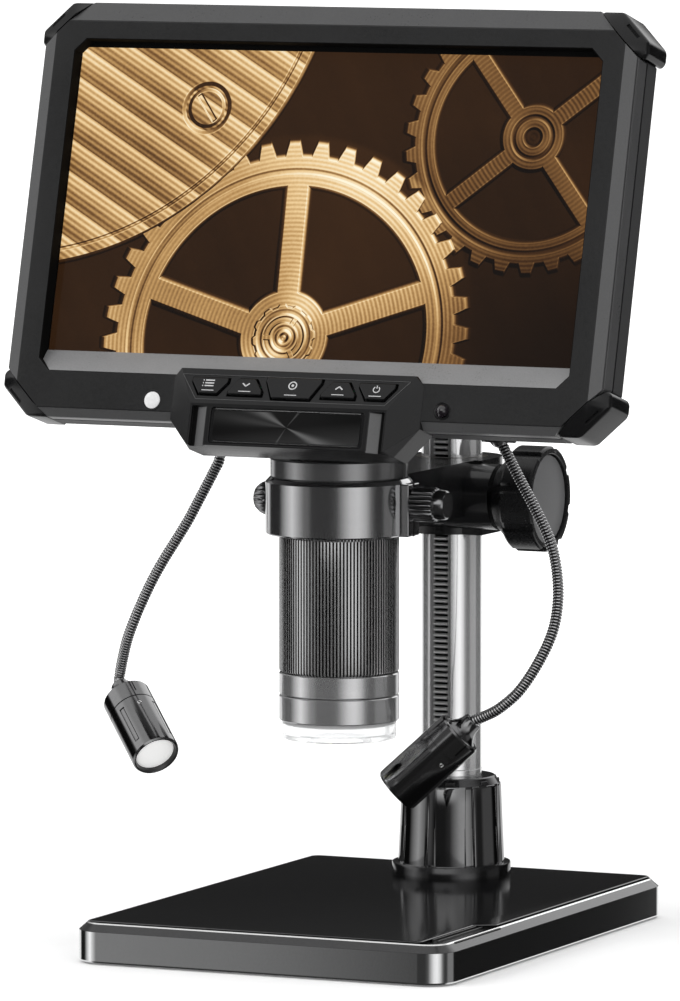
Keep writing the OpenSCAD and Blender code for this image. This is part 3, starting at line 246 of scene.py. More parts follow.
finish("lcd_grey", (0.25, 0.26), 0.6, 0.4)
finish("battery", (0.55, 0.56, 0.58), 0.5, 0.35, bump=0.3)
finish("pod_black", (0.01, 0.0103), 0, 0.25, specular=0.25, grain=2400, bump=0.2)
# Painted light: a lighter copy of the pod's black for its slanted strips and the key tray's line
finish("pod_edge_lit", (0.07, 0.071), 0, 0.35, grain=2400, bump=0.1)
finish("key_black", (0.006, 0.0063), 0, 0.18, specular=0.3, grain=2400, bump=0.04)
finish("mark_grey", (0.5, 0.505), 0, 0.45, bump=0.02)
finish("window_white", 0.7, 0, 0.25, coat=0.4, bump=0.02)
finish("dome_dark", (0.006, 0.004, 0.006), 0, 0.05, coat=1, bump=0)
finish("port_steel", 0.6, 1, 0.25)
finish("bracket_steel", 0.12, 0.6, 0.35)
finish("gooseneck_dark", (0.5, 0.505), 1, 0.16, vary=0.06)
finish("lamp_dark", (0.2, 0.202), 1, 0.13, vary=0.05, bump=0.04)
finish("lamp_edge", (0.05, 0.051), 0.6, 0.3)
finish("lamp_rim", 0.7, 1, 0.2)
finish("lamp_lens", (0.95, 0.94), 0, 0.4, bump=0, vary=0.02, glow=0.35)
# A near-black matte: painted shade in the slits, grooves, seams and recesses it fills, and the
# colour of the cover's washer and the screen's top border
finish("dark_gap", 0.003, 0, 0.9, specular=0.1)
finish("led_warm", (0.95, 0.9, 0.6), 0, 0.4, glow=0.5)


# ---- Mesh helpers, in millimetres

class Shape:
    """Points in millimetres and faces, gathered before they become one Blender object."""

    def __init__(self):
        self.points = []
        self.faces = []

    def add(self, points, faces, place=None):
        start = len(self.points)
        self.points += [place @ Vector(p) if place else Vector(p) for p in points]
        self.faces += [[start + i for i in face] for face in faces]
        return self

    def join(self, other, place=None):
        return self.add(other.points, other.faces, place)


def loft(rings, place=None, loop=False):
    """Skins rings of equal length, with two caps; loop joins the last ring to the first."""
    n = len(rings[0])
    points = [p for ring in rings for p in ring]
    faces = []
    last = (len(rings) - 1) * n
    for a in range(0, last + n if loop else last, n):
        b = (a + n) % len(points)
        faces += [[a + i, a + (i + 1) % n, b + (i + 1) % n, b + i] for i in range(n)]
    if not loop:
        faces += [list(range(n))[::-1], list(range(last, last + n))]
    return Shape().add(points, faces, place)


def circle(radius, z, sides=64, wave=None):
    """A ring of points round Z; wave(angle) is added to the radius."""
    points = []
    for i in range(sides):
        angle = TURN * i / sides
        r = radius + (wave(angle) if wave else 0)
        points.append((r * cos(angle), r * sin(angle), z))
    return points


def lathe(profile, place=None, sides=96, loop=False):
    """A turned piece round Z from (radius, z) pairs."""
    return loft([circle(max(r, 0.001), z, sides) for r, z in profile], place, loop)


def outline_at(outline, z):
    return [(x, y, z) for x, y in outline]


def slab(outline, low, high, place=None):
    """An outline of (x, y) carried from low to high along Z."""
    return loft([outline_at(outline, low), outline_at(outline, high)], place)


def box(low, high, place=None):
    corners = [(low[0], low[1]), (high[0], low[1]), (high[0], high[1]), (low[0], high[1])]
    return slab(corners, low[2], high[2], place)


def as_shape(bm, place=None):
    """The points and faces of a bmesh, which is freed."""
    bm.verts.index_update()
    shape = Shape().add([tuple(v.co) for v in bm.verts],
                        [[v.index for v in f.verts] for f in bm.faces], place)
    bm.free()
    return shape


def hull(points, place=None):
    """The convex solid round some points."""
    bm = bmesh.new()
    for p in points:
        bm.verts.new(p)
    made = bmesh.ops.convex_hull(bm, input=bm.verts, use_existing_faces=False)
    spare = [e for e in made["geom_interior"] + made["geom_unused"]
             if isinstance(e, bmesh.types.BMVert)]
    bmesh.ops.delete(bm, geom=spare, context="VERTS")
    bmesh.ops.dissolve_limit(bm, angle_limit=radians(0.5), verts=bm.verts, edges=bm.edges)
    return as_shape(bm, place)


def rounded_outline(half_x, half_y, radius, steps=10):
    points = []
    for cx, cy, first in ((1, 1, 0), (-1, 1, 1), (-1, -1, 2), (1, -1, 3)):
        for i in range(steps + 1):
            angle = pi / 2 * (first + i / steps)
            points.append((cx * (half_x - radius) + radius * cos(angle),
                           cy * (half_y - radius) + radius * sin(angle)))
    return points


def smooth_path(points, steps):
    """A smooth curve through points, with equal steps between each pair."""
    line = []
    n = len(points)
    for i in range(n - 1):
        p0, p1 = Vector(points[max(i - 1, 0)]), Vector(points[i])
        p2, p3 = Vector(points[i + 1]), Vector(points[min(i + 2, n - 1)])
        for s in range(steps):
            t = s / steps
            line.append(0.5 * (2 * p1 + (p2 - p0) * t + (2 * p0 - 5 * p1 + 4 * p2 - p3) * t * t
                               + (3 * p1 - p0 - 3 * p2 + p3) * t ** 3))
    line.append(Vector(points[-1]))
    return line


def even_path(points, gap):
    """The same line with its points a fixed gap apart."""
    out = [points[0]]
    left = gap
    for a, b in zip(points, points[1:]):
        length = (b - a).length
        done = 0
        while length - done >= left:
            done += left
            out.append(a.lerp(b, done / length))
            left = gap
        left -= length - done
    return out


def tube_along(path, radius_at, sides=20):
    """A closed tube along a path; radius_at(i) is its radius at each point."""
    rings = []
    side = None
    for i, p in enumerate(path):
        ahead = path[min(i + 1, len(path) - 1)] - path[max(i - 1, 0)]
        ahead.normalize()
        if side is None:
            side = ahead.cross(Vector((0, 1, 0))).normalized()
        side = (side - ahead * side.dot(ahead)).normalized()
        up = ahead.cross(side)
        r = radius_at(i)
        rings.append([p + r * (side * cos(TURN * k / sides) + up * sin(TURN * k / sides))
                      for k in range(sides)])
    return loft(rings)


def make_mesh(name, shape):
    mesh = bpy.data.meshes.new(name)
    mesh.from_pydata([p * MM for p in shape.points], [], shape.faces)
    bm = bmesh.new()
    bm.from_mesh(mesh)
    bmesh.ops.remove_doubles(bm, verts=bm.verts, dist=WELD)
    bmesh.ops.recalc_face_normals(bm, faces=bm.faces)
    bm.to_mesh(mesh)
    bm.free()
    return mesh


def apply_modifiers(obj):
    """Bakes an object's modifiers into its own mesh."""
    graph = bpy.context.evaluated_depsgraph_get()
    baked = bpy.data.meshes.new_from_object(obj.evaluated_get(graph))
    old = obj.data
    obj.modifiers.clear()
    obj.data = baked
    bpy.data.meshes.remove(old)


def cut(obj, shape):
    """Takes a shape out of an object."""
    tool = new_object("cutter", make_mesh("cutter", shape))
    made = obj.modifiers.new("cut", "BOOLEAN")
    made.operation = "DIFFERENCE"
    made.solver = "EXACT"
    made.object = tool
    made.use_self = True
    apply_modifiers(obj)
    bpy.data.objects.remove(tool)


def round_edges(obj, width):
    made = obj.modifiers.new("edges", "BEVEL")
    made.width = width * MM
    made.segments = 2
    made.limit_method = "ANGLE"
    made.angle_limit = radians(35)
    made.use_clamp_overlap = True
    made.harden_normals = True


def new_object(name, mesh):
    obj = bpy.data.objects.new(name, mesh)
    bpy.context.scene.collection.objects.link(obj)
    return obj


def piece(name, shape, look, node, replace=False, edge=0, sharp=32, cuts=()):
    """One visible piece. It rides with a CAD node's body, and may stand for that node."""
    obj = new_object(name, make_mesh(name, shape))
    for shape_out in cuts:
        cut(obj, shape_out)
    if cuts:
        bm = bmesh.new()
        bm.from_mesh(obj.data)
        bmesh.ops.remove_doubles(bm, verts=bm.verts, dist=WELD)
        bmesh.ops.dissolve_limit(bm, angle_limit=radians(0.3), verts=bm.verts, edges=bm.edges)
        bm.to_mesh(obj.data)
        bm.free()
    obj.data.name = name
    obj.data.shade_smooth()
    obj.data.set_sharp_from_angle(angle=radians(sharp))
    obj.data.materials.clear()
    obj.data.materials.append(MATERIALS[look])
    if edge > 0:
        round_edges(obj, edge)
    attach(obj, BODY_OF[node])
    if replace:
        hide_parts(node)
    return obj


def keep(node, edge=0):
    """A CAD node that stays in view, with its own finish and softened edges."""
    obj = frame["nodes"][node]
    look = SLOT_OF[node]
    for slot in obj.material_slots:
        slot.material = MATERIALS[look]
    if edge > 0:
        round_edges(obj, edge)


def at(x, y, z):
    return Matrix.Translation((x, y, z))


def turned(axis, angle):
    """A turn by some degrees round an axis."""
    return Matrix.Rotation(radians(angle), 4, axis)


# ---- Main sizes, worked out from the frame

def span(node):
    """A node's lowest and highest corners in millimetres."""
    low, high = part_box(node)
    return Vector(low) / MM, Vector(high) / MM


base_low, base_high = span("base_shell")
BASE_X = base_high.x
BASE_Y = base_high.y
COLUMN_Y = sum(c.y for c in span("column_rod")) / 2
COLUMN_R = (span("column_rod")[1].x - span("column_rod")[0].x) / 2
COLUMN_TOP = span("column_rod")[1].z
LENS_Y = sum(c.y for c in span("focus_sleeve")) / 2
RING_LOW, RING_TOP = (c.z for c in span("holder_ring"))
LUG_X = span("holder_ring")[1].x
SLEEVE_LOW, SLEEVE_TOP = (c.z for c in span("focus_sleeve"))
KNOB_Z = sum(c.z for c in span("knob_caps")) / 2
KNOB_Y = sum(c.y for c in span("knob_caps")) / 2

LEAN = 15
SCREEN_Y = LENS_Y - 13.5
SCREEN_Z = 200.1
lean_sin, lean_cos = sin(radians(LEAN)), cos(radians(LEAN))
DISPLAY = Matrix(((1, 0, 0, 0), (0, lean_sin, -lean_cos, SCREEN_Y),
                  (0, lean_cos, lean_sin, SCREEN_Z), (0, 0, 0, 1)))


# ---- Base

CORNER_R = 8
SIDE_TOP = 8.95
BAND_TOP = 10.75
SKIRT = 0.5
DECK = 11.4
PANEL_INSET = 3.5
PANEL_R = 2.2
FOOT_R = 5.5
NOTCH_X = 46
NOTCH_Y = -37


def base_stack(*rows):
    """The base's rounded outline skinned through rows of (inset, height)."""
    return loft([outline_at(rounded_outline(BASE_X - inset, BASE_Y - inset,
                                            max(CORNER_R - inset, 0.8)), z) for inset, z in rows])


def panel_stack(rows, loop=False):
    return loft([outline_at(panel_outline(inset), z) for inset, z in rows], None, loop)


def panel_outline(inset):
    """The deck panel with its stepped corner at the front right."""
    half_x, half_y = BASE_X - PANEL_INSET - inset, BASE_Y - PANEL_INSET - inset
    outline = rounded_outline(half_x, half_y, PANEL_R, 6)
    kept = [p for p in outline if not (p[0] > 0 and p[1] < 0)]
    edge_x = NOTCH_X - inset
    corner = [(edge_x - PANEL_R + PANEL_R * cos(a), -half_y + PANEL_R - PANEL_R * sin(a))
              for a in [pi / 2 * i / 6 for i in range(6, -1, -1)]]
    return kept + corner + [(edge_x, NOTCH_Y), (half_x, NOTCH_Y + 3.5)]


def build_base():
    side = base_stack((4.2, base_low.z + 1.3), (4.2, SKIRT), (0.5, SKIRT), (0, SKIRT + 0.5),
                      (0, SIDE_TOP - 0.15), (0.4, SIDE_TOP - 0.4))
    piece("base_side", side, "base_side", "base_shell", replace=True, sharp=25)
    # The chamfer band takes the darker copy of the base metal as painted shade
    band = base_stack((1.2, SIDE_TOP - 0.6), (0.02, SIDE_TOP - 0.2), (0.02, SIDE_TOP - 0.1),
                      (2.05, BAND_TOP - 0.12), (2.2, BAND_TOP - 0.35))
    piece("base_chamfer", band, "base_band_shaded", "base_shell", sharp=25)
    line = base_stack((1.95, BAND_TOP - 0.6), (1.95, BAND_TOP - 0.25), (2.35, BAND_TOP + 0.2),
                      (2.55, BAND_TOP + 0.2), (2.65, BAND_TOP + 0.1), (2.65, BAND_TOP - 0.7))
    piece("base_bright_line", line, "base_line", "base_shell", sharp=25)
    # A near-black ring fills the groove round the panel as painted shade
    groove = base_stack((2.55, BAND_TOP - 0.8), (2.55, BAND_TOP - 0.4))
    piece("base_groove_shade", groove, "dark_gap", "base_shell")
    panel = panel_stack(((0, BAND_TOP - 0.7), (0, DECK - 0.35), (0.3, DECK - 0.02), (0.7, DECK)))
    piece("base_panel", panel, "panel_gloss", "base_panel", replace=True, sharp=20)
    # The grey ring at the panel's edge is a painted highlight of its chamfer
    rim = panel_stack(((0.12, DECK - 0.3), (-0.06, DECK - 0.3), (-0.06, DECK - 0.2),
                       (0.12, DECK - 0.06)), loop=True)
    piece("panel_rim", rim, "panel_edge_highlight", "base_panel", sharp=20)
    # The ledges in the notch carry the same painted highlight along their edges
    ledges = Shape()
    for x0, x1, rise in ((NOTCH_X + 0.2, NOTCH_X + 0.7, 0.35), (NOTCH_X + 1.7, NOTCH_X + 2.1, 0.1),
                         (BASE_X - 2.3, BASE_X - 1.7, 0.05)):
        ledges.join(box((x0, -BASE_Y + 11, BAND_TOP - 0.6), (x1, NOTCH_Y + 2, BAND_TOP + rise)))
    piece("notch_ledges", ledges, "panel_edge_highlight", "base_shell", edge=0.1)
    keep("base_cover", 0.2)
    feet = Shape()
    low, high = span("base_feet")
    for x in (low.x + FOOT_R, high.x - FOOT_R):
        for y in (low.y + FOOT_R, high.y - FOOT_R):
            feet.join(lathe([(4.6, 0), (5.2, 0.15), (FOOT_R, 0.5), (FOOT_R, 1)], at(x, y, 0), 48))
    piece("rubber_feet", feet, "rubber", "base_feet", replace=True)
    keep("base_screws", 0.1)


# ---- Column

FLANGE_H = 3.2
FLANGE_R = 16.4
PADS = 8
SLOT_DEPTH = 3.4
RACK_PITCH = pi / 2
TOOTH_ROOT, TOOTH_TIP = 1.62, 0.5
TOOTH_HALF = 1.95


def build_collar():
    low, high = span("column_collar")
    height = high.z - low.z
    place = at(0, COLUMN_Y, low.z)
    soft = 0.012

    def grooved(radius, z, part):
        """A ring with flat grooves between the grip panels, narrower towards the top."""
        half = 0.125 - 0.045 * part

        def wave(angle):
            turn = (angle * PADS / TURN) % 1
            away = min(turn, 1 - turn)
            return -0.75 * min(1, max(0, (half + soft - away) / soft))

        return circle(radius, z, PADS * 96, wave)

    body = loft([circle(14.7, FLANGE_H - 0.3, PADS * 96), grooved(14.7, FLANGE_H + 0.2, 0),
                 grooved(14.2, height * 0.5, 0.5), grooved(13.75, height * 0.9, 0.9),
                 grooved(13.55, height * 0.92, 0.92), circle(12, height * 0.95, PADS * 96)], place)
    piece("collar_body", body, "collar_gloss", "column_collar", replace=True, sharp=28)
    # The crown takes the flange's darker finish as painted shade, in place of the sky it would
    # mirror
    crown = lathe([(12, height * 0.9), (13.35, height * 0.9), (13.4, height * 0.925),
                   (12.3, height * 0.99), (11.8, height), (COLUMN_R + 0.4, height),
                   (COLUMN_R + 0.1, height - 0.5)], place, 128)
    piece("collar_crown", crown, "flange_black", "column_collar", sharp=24)
    under = DECK - low.z - 0.1
    flange = lathe([(14, under), (FLANGE_R, under), (FLANGE_R, FLANGE_H - 0.3),
                    (FLANGE_R - 0.15, FLANGE_H - 0.05), (FLANGE_R - 0.5, FLANGE_H),
                    (14, FLANGE_H)], place, 128)
    piece("collar_flange", flange, "flange_black", "column_collar")
    tabs = Shape()
    for i in range(PADS):
        tabs.join(box((11.9, -1.3, height - 2.6), (13.25, 1.3, height - 0.9)),
                  place @ turned("Z", 360 / PADS * (i + 0.5)))
    piece("collar_tabs", tabs, "flange_black", "column_collar", edge=0.3)


def slot_outline(radius, half_slot):
    """The column's round outline with the rack's slot cut in its front."""
    sides = 88
    first = asin(half_slot / radius)
    start, end = -pi / 2 + first, TURN - pi / 2 - first
    arc = [start + (end - start) * i / sides for i in range(sides + 1)]
    line = [(radius * cos(a), radius * sin(a)) for a in arc]
    return line + [(-half_slot, -radius + SLOT_DEPTH), (half_slot, -radius + SLOT_DEPTH)]


def build_column():
    low = span("column_rod")[0].z
    rack_low, rack_high = span("column_rack")
    half_slot = (rack_high.x - rack_low.x) / 2
    place = at(0, COLUMN_Y, 0)
    rod = slab(slot_outline(COLUMN_R, half_slot), rack_low.z, rack_high.z, place)
    piece("column_rod", rod, "column_chrome", "column_rod", replace=True, sharp=30, edge=0.25)
    ends = lathe([(COLUMN_R, low), (COLUMN_R, rack_low.z)], place)
    ends.join(lathe([(COLUMN_R, rack_high.z), (COLUMN_R, COLUMN_TOP - 0.4),
                     (COLUMN_R - 0.4, COLUMN_TOP)], place))
    piece("column_ends", ends, "column_chrome", "column_rod")
    cap = lathe([(COLUMN_R - 0.2, 0), (COLUMN_R, 0.3), (COLUMN_R - 0.2, 0.9),
                 (COLUMN_R - 1.2, 1.2), (3.2, 1.2), (2.9, 0.7)], place @ at(0, 0, COLUMN_TOP), 64)
    piece("column_cap", cap, "knob_black", "column_cap", replace=True, sharp=25)
    keep("column_bolt", 0.2)
    build_rack(rack_low.z, rack_high.z, half_slot)


def build_rack(low, high, half_slot):
    """The rack: its teeth lie level with the knobs' shaft at a whole number of pitches."""
    root_y = COLUMN_Y - COLUMN_R + TOOTH_ROOT
    tip_y = COLUMN_Y - COLUMN_R + TOOTH_TIP
    half = TOOTH_HALF
    side = [(root_y + 1, low), (root_y, low)]
    first = ceil((low + 1 - KNOB_Z) / RACK_PITCH)
    last = floor((high - 1 - KNOB_Z) / RACK_PITCH)
    for k in range(first, last + 1):
        z = KNOB_Z + k * RACK_PITCH
        side += [(root_y, z - 0.55), (tip_y, z - 0.2), (tip_y, z + 0.2), (root_y, z + 0.55)]
    side += [(root_y, high), (root_y + 1, high)]
    teeth = loft([[(x, y, z) for y, z in side] for x in (-half, half)])
    piece("rack_teeth", teeth, "rack_steel", "column_rack", replace=True, sharp=10)
    back = box((-half_slot, root_y + 0.3, low), (half_slot, root_y + 1.7, high))
    piece("rack_back", back, "slot_steel", "column_rack", edge=0.1)
    # A near-black block behind the teeth puts painted shade in the gaps between them
    gaps = box((-half + 0.05, root_y - 0.12, low + 1), (half - 0.05, root_y + 0.2, high - 1))
    piece("rack_gap_shade", gaps, "dark_gap", "column_rack")


# ---- Carriage and knobs

def build_carriage():
    keep("carriage_body", 0.5)
    for node in ("column_bushes", "shaft_bushes", "ring_screws", "pinion_shaft"):
        keep(node, 0.05)
    outer = -span("holder_ring")[0].x
    place = at(0, LENS_Y, 0)
    bore = 16.65
    ring = lathe([(bore, RING_LOW + 0.4), (bore + 0.4, RING_LOW), (outer - 0.4, RING_LOW),
                  (outer, RING_LOW + 0.4), (outer, RING_TOP - 1.1), (outer - 0.12, RING_TOP - 0.9),
                  (outer - 0.9, RING_TOP - 0.12), (outer - 1.05, RING_TOP), (bore + 0.3, RING_TOP),
                  (bore, RING_TOP - 0.3)], place, 160, loop=True)
    piece("holder_ring", ring, "ring_dark", "holder_ring", replace=True, sharp=20)
    half, slit = 3.65, 0.35
    lug = box((outer - 3.5, -half, RING_LOW), (LUG_X, half, RING_TOP - 1), place)
    piece("ring_lug", lug, "ring_dark", "holder_ring", edge=0.35)
    # A near-black block fills the lug's slit as painted shade
    gap = box((outer - 3.6, -slit, RING_LOW - 0.02), (LUG_X + 0.02, slit, RING_TOP - 0.95), place)
    piece("lug_slit_shade", gap, "dark_gap", "holder_ring")


KNOB_FACE = 34.5


def padded(middle):
    """A knob's grip: eight flat pads, raised by 1, with a shallow groove between each two."""
    pitch = TURN / 8
    half_pad, slope = radians(16.5), radians(2.2)

    def wave(angle):
        away = abs((angle - radians(middle) + pitch / 2) % pitch - pitch / 2)
        return min(1, max(0, (half_pad + slope - away) / slope))

    return wave


def build_knob(side, letter):
    """One knob's grip; its flat cap is given back, since both caps are one node."""
    place = at(0, KNOB_Y, KNOB_Z) @ turned("Y", 90 * side)
    wave = padded(6.5)
    face = KNOB_FACE
    rows = ((3.2, 21, 0), (9.3, 21, 0), (9.6, 21.4, 0), (12.4, 24.6, 0.3), (13.1, 25.2, 0.8),
            (13.45, 25.9, 1), (13.45, face - 0.7, 1), (13.25, face - 0.2, 0.95),
            (12.95, face, 0.85), (12.6, face, 0), (12.35, face - 0.2, 0), (12.3, face - 2.4, 0))
    body = loft([circle(r, x, 480, lambda a: share * wave(a)) for r, x, share in rows], place)
    node = "knob_right" if side > 0 else "knob_left"
    piece("knob_body_" + letter, body, "knob_black", node, replace=True, sharp=24)
    return lathe([(12, face - 2.3), (12.1, face - 1.2), (11.95, face - 0.85),
                  (11.6, face - 0.75), (0.01, face - 0.7)], place, 128)


def knurled(profile, ribs, depth, place):
    """A turned piece with straight knurling on the rings that ask for it."""
    def wave(share):
        return lambda a: -depth * share * (0.5 - 0.5 * cos(a * ribs)) ** 2

    return loft([circle(radius, z, ribs * 8, wave(share)) for radius, z, share in profile], place)


def build_knobs():
    caps = Shape()
    for side, letter in ((1, "r"), (-1, "l")):
        caps.join(build_knob(side, letter))
    piece("knob_caps", caps, "knob_cap", "knob_caps", replace=True, sharp=25)
    low, high = span("clamp_screw_right")
    place = at(0, LENS_Y, (low.z + high.z) / 2)
    right = [(2, 19, 0), (2, 22.3, 0), (4.3, 22.3, 0), (4.7, 22.7, 1), (4.7, 28.2, 1),
             (4.4, 28.7, 0.6), (3.9, 28.9, 0), (3.9, 29.3, 0), (4.1, 29.5, 0), (3.9, 31.4, 0),
             (3.4, 31.9, 0)]
    left = [(2, 18, 0), (2, 20.1, 0), (4.4, 20.1, 0), (4.7, 20.5, 0.6), (4.6, 21.6, 1),
            (4.1, 22.8, 1), (3.2, 23.9, 1), (2, 24.6, 0.6), (0.8, 24.9, 0)]
    for side, profile, ribs, depth, turn in (("right", right, 20, 0.5, 90),
                                             ("left", left, 18, 0.45, -90)):
        screw = knurled(profile, ribs, depth, place @ turned("Y", turn))
        piece("thumb_screw_" + side, screw, "knurl_dark", "clamp_screw_" + side, replace=True,
              sharp=40)


# ---- Head

NECK_LOW = 113.2
KNUCKLE_R = 6.4
SLEEVE_R = 16.1
SLEEVE_BORE = 14.65


def build_neck(place):
    low, top = RING_TOP + 0.15, RING_TOP + 5.5
    neck = lathe([(14.8, NECK_LOW), (16.4, NECK_LOW), (16.55, NECK_LOW + 0.3), (16.55, low),
                  (18.1, low), (18.5, low + 0.4), (18.5, top - 0.5), (18.1, top - 0.1),
                  (17.6, top)], place, 160)
    piece("neck", neck, "barrel_dark", "head_housing", replace=True, sharp=22)
    hinge_z = sum(c.z for c in span("hinge_pin")) / 2
    turns = [pi * i / 24 for i in range(25)]
    outline = [(-KNUCKLE_R * cos(a), hinge_z + KNUCKLE_R * sin(a)) for a in turns]
    outline = [(-KNUCKLE_R, top - 0.5), *outline, (KNUCKLE_R, top - 0.5)]
    knuckle = loft([[(x, LENS_Y + y, z) for y, z in outline] for x in (-9.7, 9.7)])
    piece("hinge_knuckle", knuckle, "barrel_dark", "head_housing", edge=0.4)


def build_sleeve(place):
    """The focus sleeve: its grooves are cut square, with painted shade on their bottoms."""
    ribs = 108

    def rib(angle):
        turn = (angle * ribs / TURN) % 1
        return -0.4 if 0.56 < turn < 0.94 else 0

    r, low, top = SLEEVE_R, SLEEVE_LOW, SLEEVE_TOP
    rows = [(SLEEVE_BORE, low, None), (r - 0.5, low, None), (r - 0.05, low + 0.4, rib),
            (r, low + 0.7, rib), (r, top - 0.6, rib), (r - 0.1, top - 0.3, rib),
            (r - 0.5, top, None), (SLEEVE_BORE, top, None)]
    sleeve = loft([circle(radius, z, ribs * 8, wave) for radius, z, wave in rows], place, True)
    grip = piece("focus_sleeve", sleeve, "sleeve_dark", "focus_sleeve", replace=True, sharp=20)
    # Painted shade: the grooves' bottoms take the near-black matte
    grip.data.materials.append(MATERIALS["dark_gap"])
    for face in grip.data.polygons:
        middle = face.center / MM - Vector((0, LENS_Y, 0))
        if 15.6 < hypot(middle.x, middle.y) < r - 0.12 and abs(face.normal.z) < 0.3:
            face.material_index = 1


def build_head():
    place = at(0, LENS_Y, 0)
    build_neck(place)
    for node, edge in (("hinge_bracket", 0.25), ("hinge_pin", 0.2), ("lens_tube", 0),
                       ("sensor_board", 0), ("led_board", 0), ("lens_carrier", 0.1),
                       ("objective_lens", 0.1)):
        keep(node, edge)
    build_sleeve(place)
    r = SLEEVE_R
    for end in ("upper", "lower"):
        low, high = (c.z for c in span("nose_ring_" + end))
        nose = lathe([(SLEEVE_BORE, low), (r - 0.25, low), (r, low + 0.25), (r, high - 0.25),
                      (r - 0.25, high), (SLEEVE_BORE, high)], place, 160, True)
        piece("nose_" + end, nose, "nose_metal", "nose_ring_" + end, replace=True, sharp=22)
    low, top = (c.z for c in span("led_cover"))
    cover = lathe([(7, low + 0.2), (7.2, low), (14.3, low), (15.1, low + 0.3), (15.3, low + 0.9),
                   (15.3, top - 0.3), (15.1, top), (14.1, top), (13.9, top - 0.3),
                   (13.9, low + 1.8), (13.5, low + 1.4), (7, low + 1.4)], place, 128, True)
    piece("led_cover", cover, "clear_cover", "led_cover", replace=True, sharp=25)
    washer = lathe([(14, top - 0.9), (14.6, top - 0.9), (14.75, top), (14, top)], place, 128, True)
    piece("cover_washer", washer, "dark_gap", "led_cover")
    leds = Shape()
    for i in range(8):
        turn = at(0, LENS_Y, top) @ turned("Z", 45 * i)
        leds.join(box((9.2, -1.2, -0.85), (11.6, 1.2, -0.78)), turn)
    piece("led_chips", leds, "led_warm", "led_board", edge=0.02)


# ---- Display

# A corner is cut where half width plus height reaches its line
TOP_LINE = 130.2
LOW_LINE = 132.2
TOP_EDGE = 55.97
LOW_EDGE = 58
WINDOW = (77.4, 45.3, 45.7)
WINDOW_CUT = 3.4
WINDOW_DEPTH = 4.4
SILL_LOW = 39.5
DOT_U, DOT_V = 42.4, -52.9


def frame_ring(half, top, low, w, w_top=None, w_low=None, lines=(TOP_LINE, LOW_LINE)):
    """The display's outline with its corners cut along fixed slanting lines."""
    w_top = w if w_top is None else w_top
    w_low = w if w_low is None else w_low
    a, b = half + top - lines[0], half + low - lines[1]
    right = [(half - a, top, w_top), (half, top - a, w), (half, -low + b, w),
             (half - b, -low, w_low)]
    return right + [(-u, v, w_at) for u, v, w_at in right[::-1]]


def frame_loop(*rows):
    return loft([frame_ring(*row) for row in rows], DISPLAY, True)


def window_ring(grow, w):
    half, top, low = (size + grow for size in WINDOW)
    return frame_ring(half, top, low, w, lines=(half + top - WINDOW_CUT, half + low - WINDOW_CUT))


def build_bezel():
    front = loft([window_ring(0.05, -0.3), window_ring(0.05, -0.15), window_ring(0.25, 0),
                  frame_ring(83.1, 50.1, 55.7, 0),
                  frame_ring(83.35, 50.35, 55.9, -0.06, -0.12, -0.1),
                  frame_ring(83.3, 50.3, 55.8, -0.6), window_ring(1.5, -0.6)], DISPLAY, True)
    piece("bezel_front", front, "bezel_black", "front_bezel", replace=True, sharp=18)
    # The chamfer and the lip take the lighter copy of the bezel's black as painted light
    edge = frame_loop(
        (83.2, 50.2, 55.75, -0.5), (83.4, 50.45, 55.95, -0.08, -0.16, -0.14),
        (86.4, 55.7, 57.75, -0.86, -2.66, -2.2), (86.7, TOP_EDGE, LOW_EDGE, -1, -3, -2.5),
        (86.75, TOP_EDGE, LOW_EDGE, -1.25, -3.3, -2.8), (86.2, 55.4, 57.4, -1.3, -3.3, -2.8),
        (82.8, 49.8, 55.2, -1.3))
    piece("bezel_chamfer", edge, "bezel_edge_lit", "front_bezel", sharp=18)
    lip = frame_loop(
        (85.9, 55, 57, -1.5, -3.5, -3), (86.9, 55.9, 57.9, -1.5, -3.5, -3),
        (87.1, TOP_EDGE, LOW_EDGE, -1.7, -3.75, -3.25), (87.45, TOP_EDGE, LOW_EDGE, -6.05),
        (87.2, 55.6, 57.7, -6.3), (85.9, 55, 57, -6.3))
    piece("bezel_lip", lip, "bezel_edge_lit", "front_bezel", sharp=18)
    # A near-black ring in the seam round the bezel, as painted shade
    seam = frame_loop(
        (86.25, 55.45, 57.45, -1.2, -3.1, -2.6), (86.25, 55.45, 57.45, -1.6, -3.6, -3.1),
        (85.8, 55, 57, -1.6, -3.6, -3.1), (85.8, 55, 57, -1.2, -3.1, -2.6))
    piece("bezel_seam_shade", seam, "dark_gap", "front_bezel", sharp=18)
    floor_w = -WINDOW_DEPTH
    # The window's inner walls take the near-black matte as painted shade in the recess
    wall = loft([window_ring(grow, w) for grow, w in (
        (0, -0.12), (0, floor_w - 0.5), (0.8, floor_w - 0.5), (0.8, -0.4), (0.2, -0.05))],
        DISPLAY, True)
    piece("window_wall_shade", wall, "dark_gap", "front_bezel", sharp=18)
    half, top, low = WINDOW
    profile = [(-low - 0.1, -0.15), (-low + 0.2, -0.2), (-SILL_LOW - 0.3, floor_w + 0.35),
               (-SILL_LOW, floor_w + 0.05), (-SILL_LOW - 0.4, floor_w - 0.4),
               (-low - 0.1, floor_w - 0.4)]
    sill = loft([[(u, v, w) for v, w in profile] for u in (-half + 0.1, half - 0.1)], DISPLAY)
    piece("window_sill", sill, "sill_grey", "front_bezel", sharp=20)
    border = box((-half, top - 1.4, floor_w - 0.1), (half, top, floor_w + 0.05), DISPLAY)
    piece("window_border", border, "dark_gap", "front_bezel")


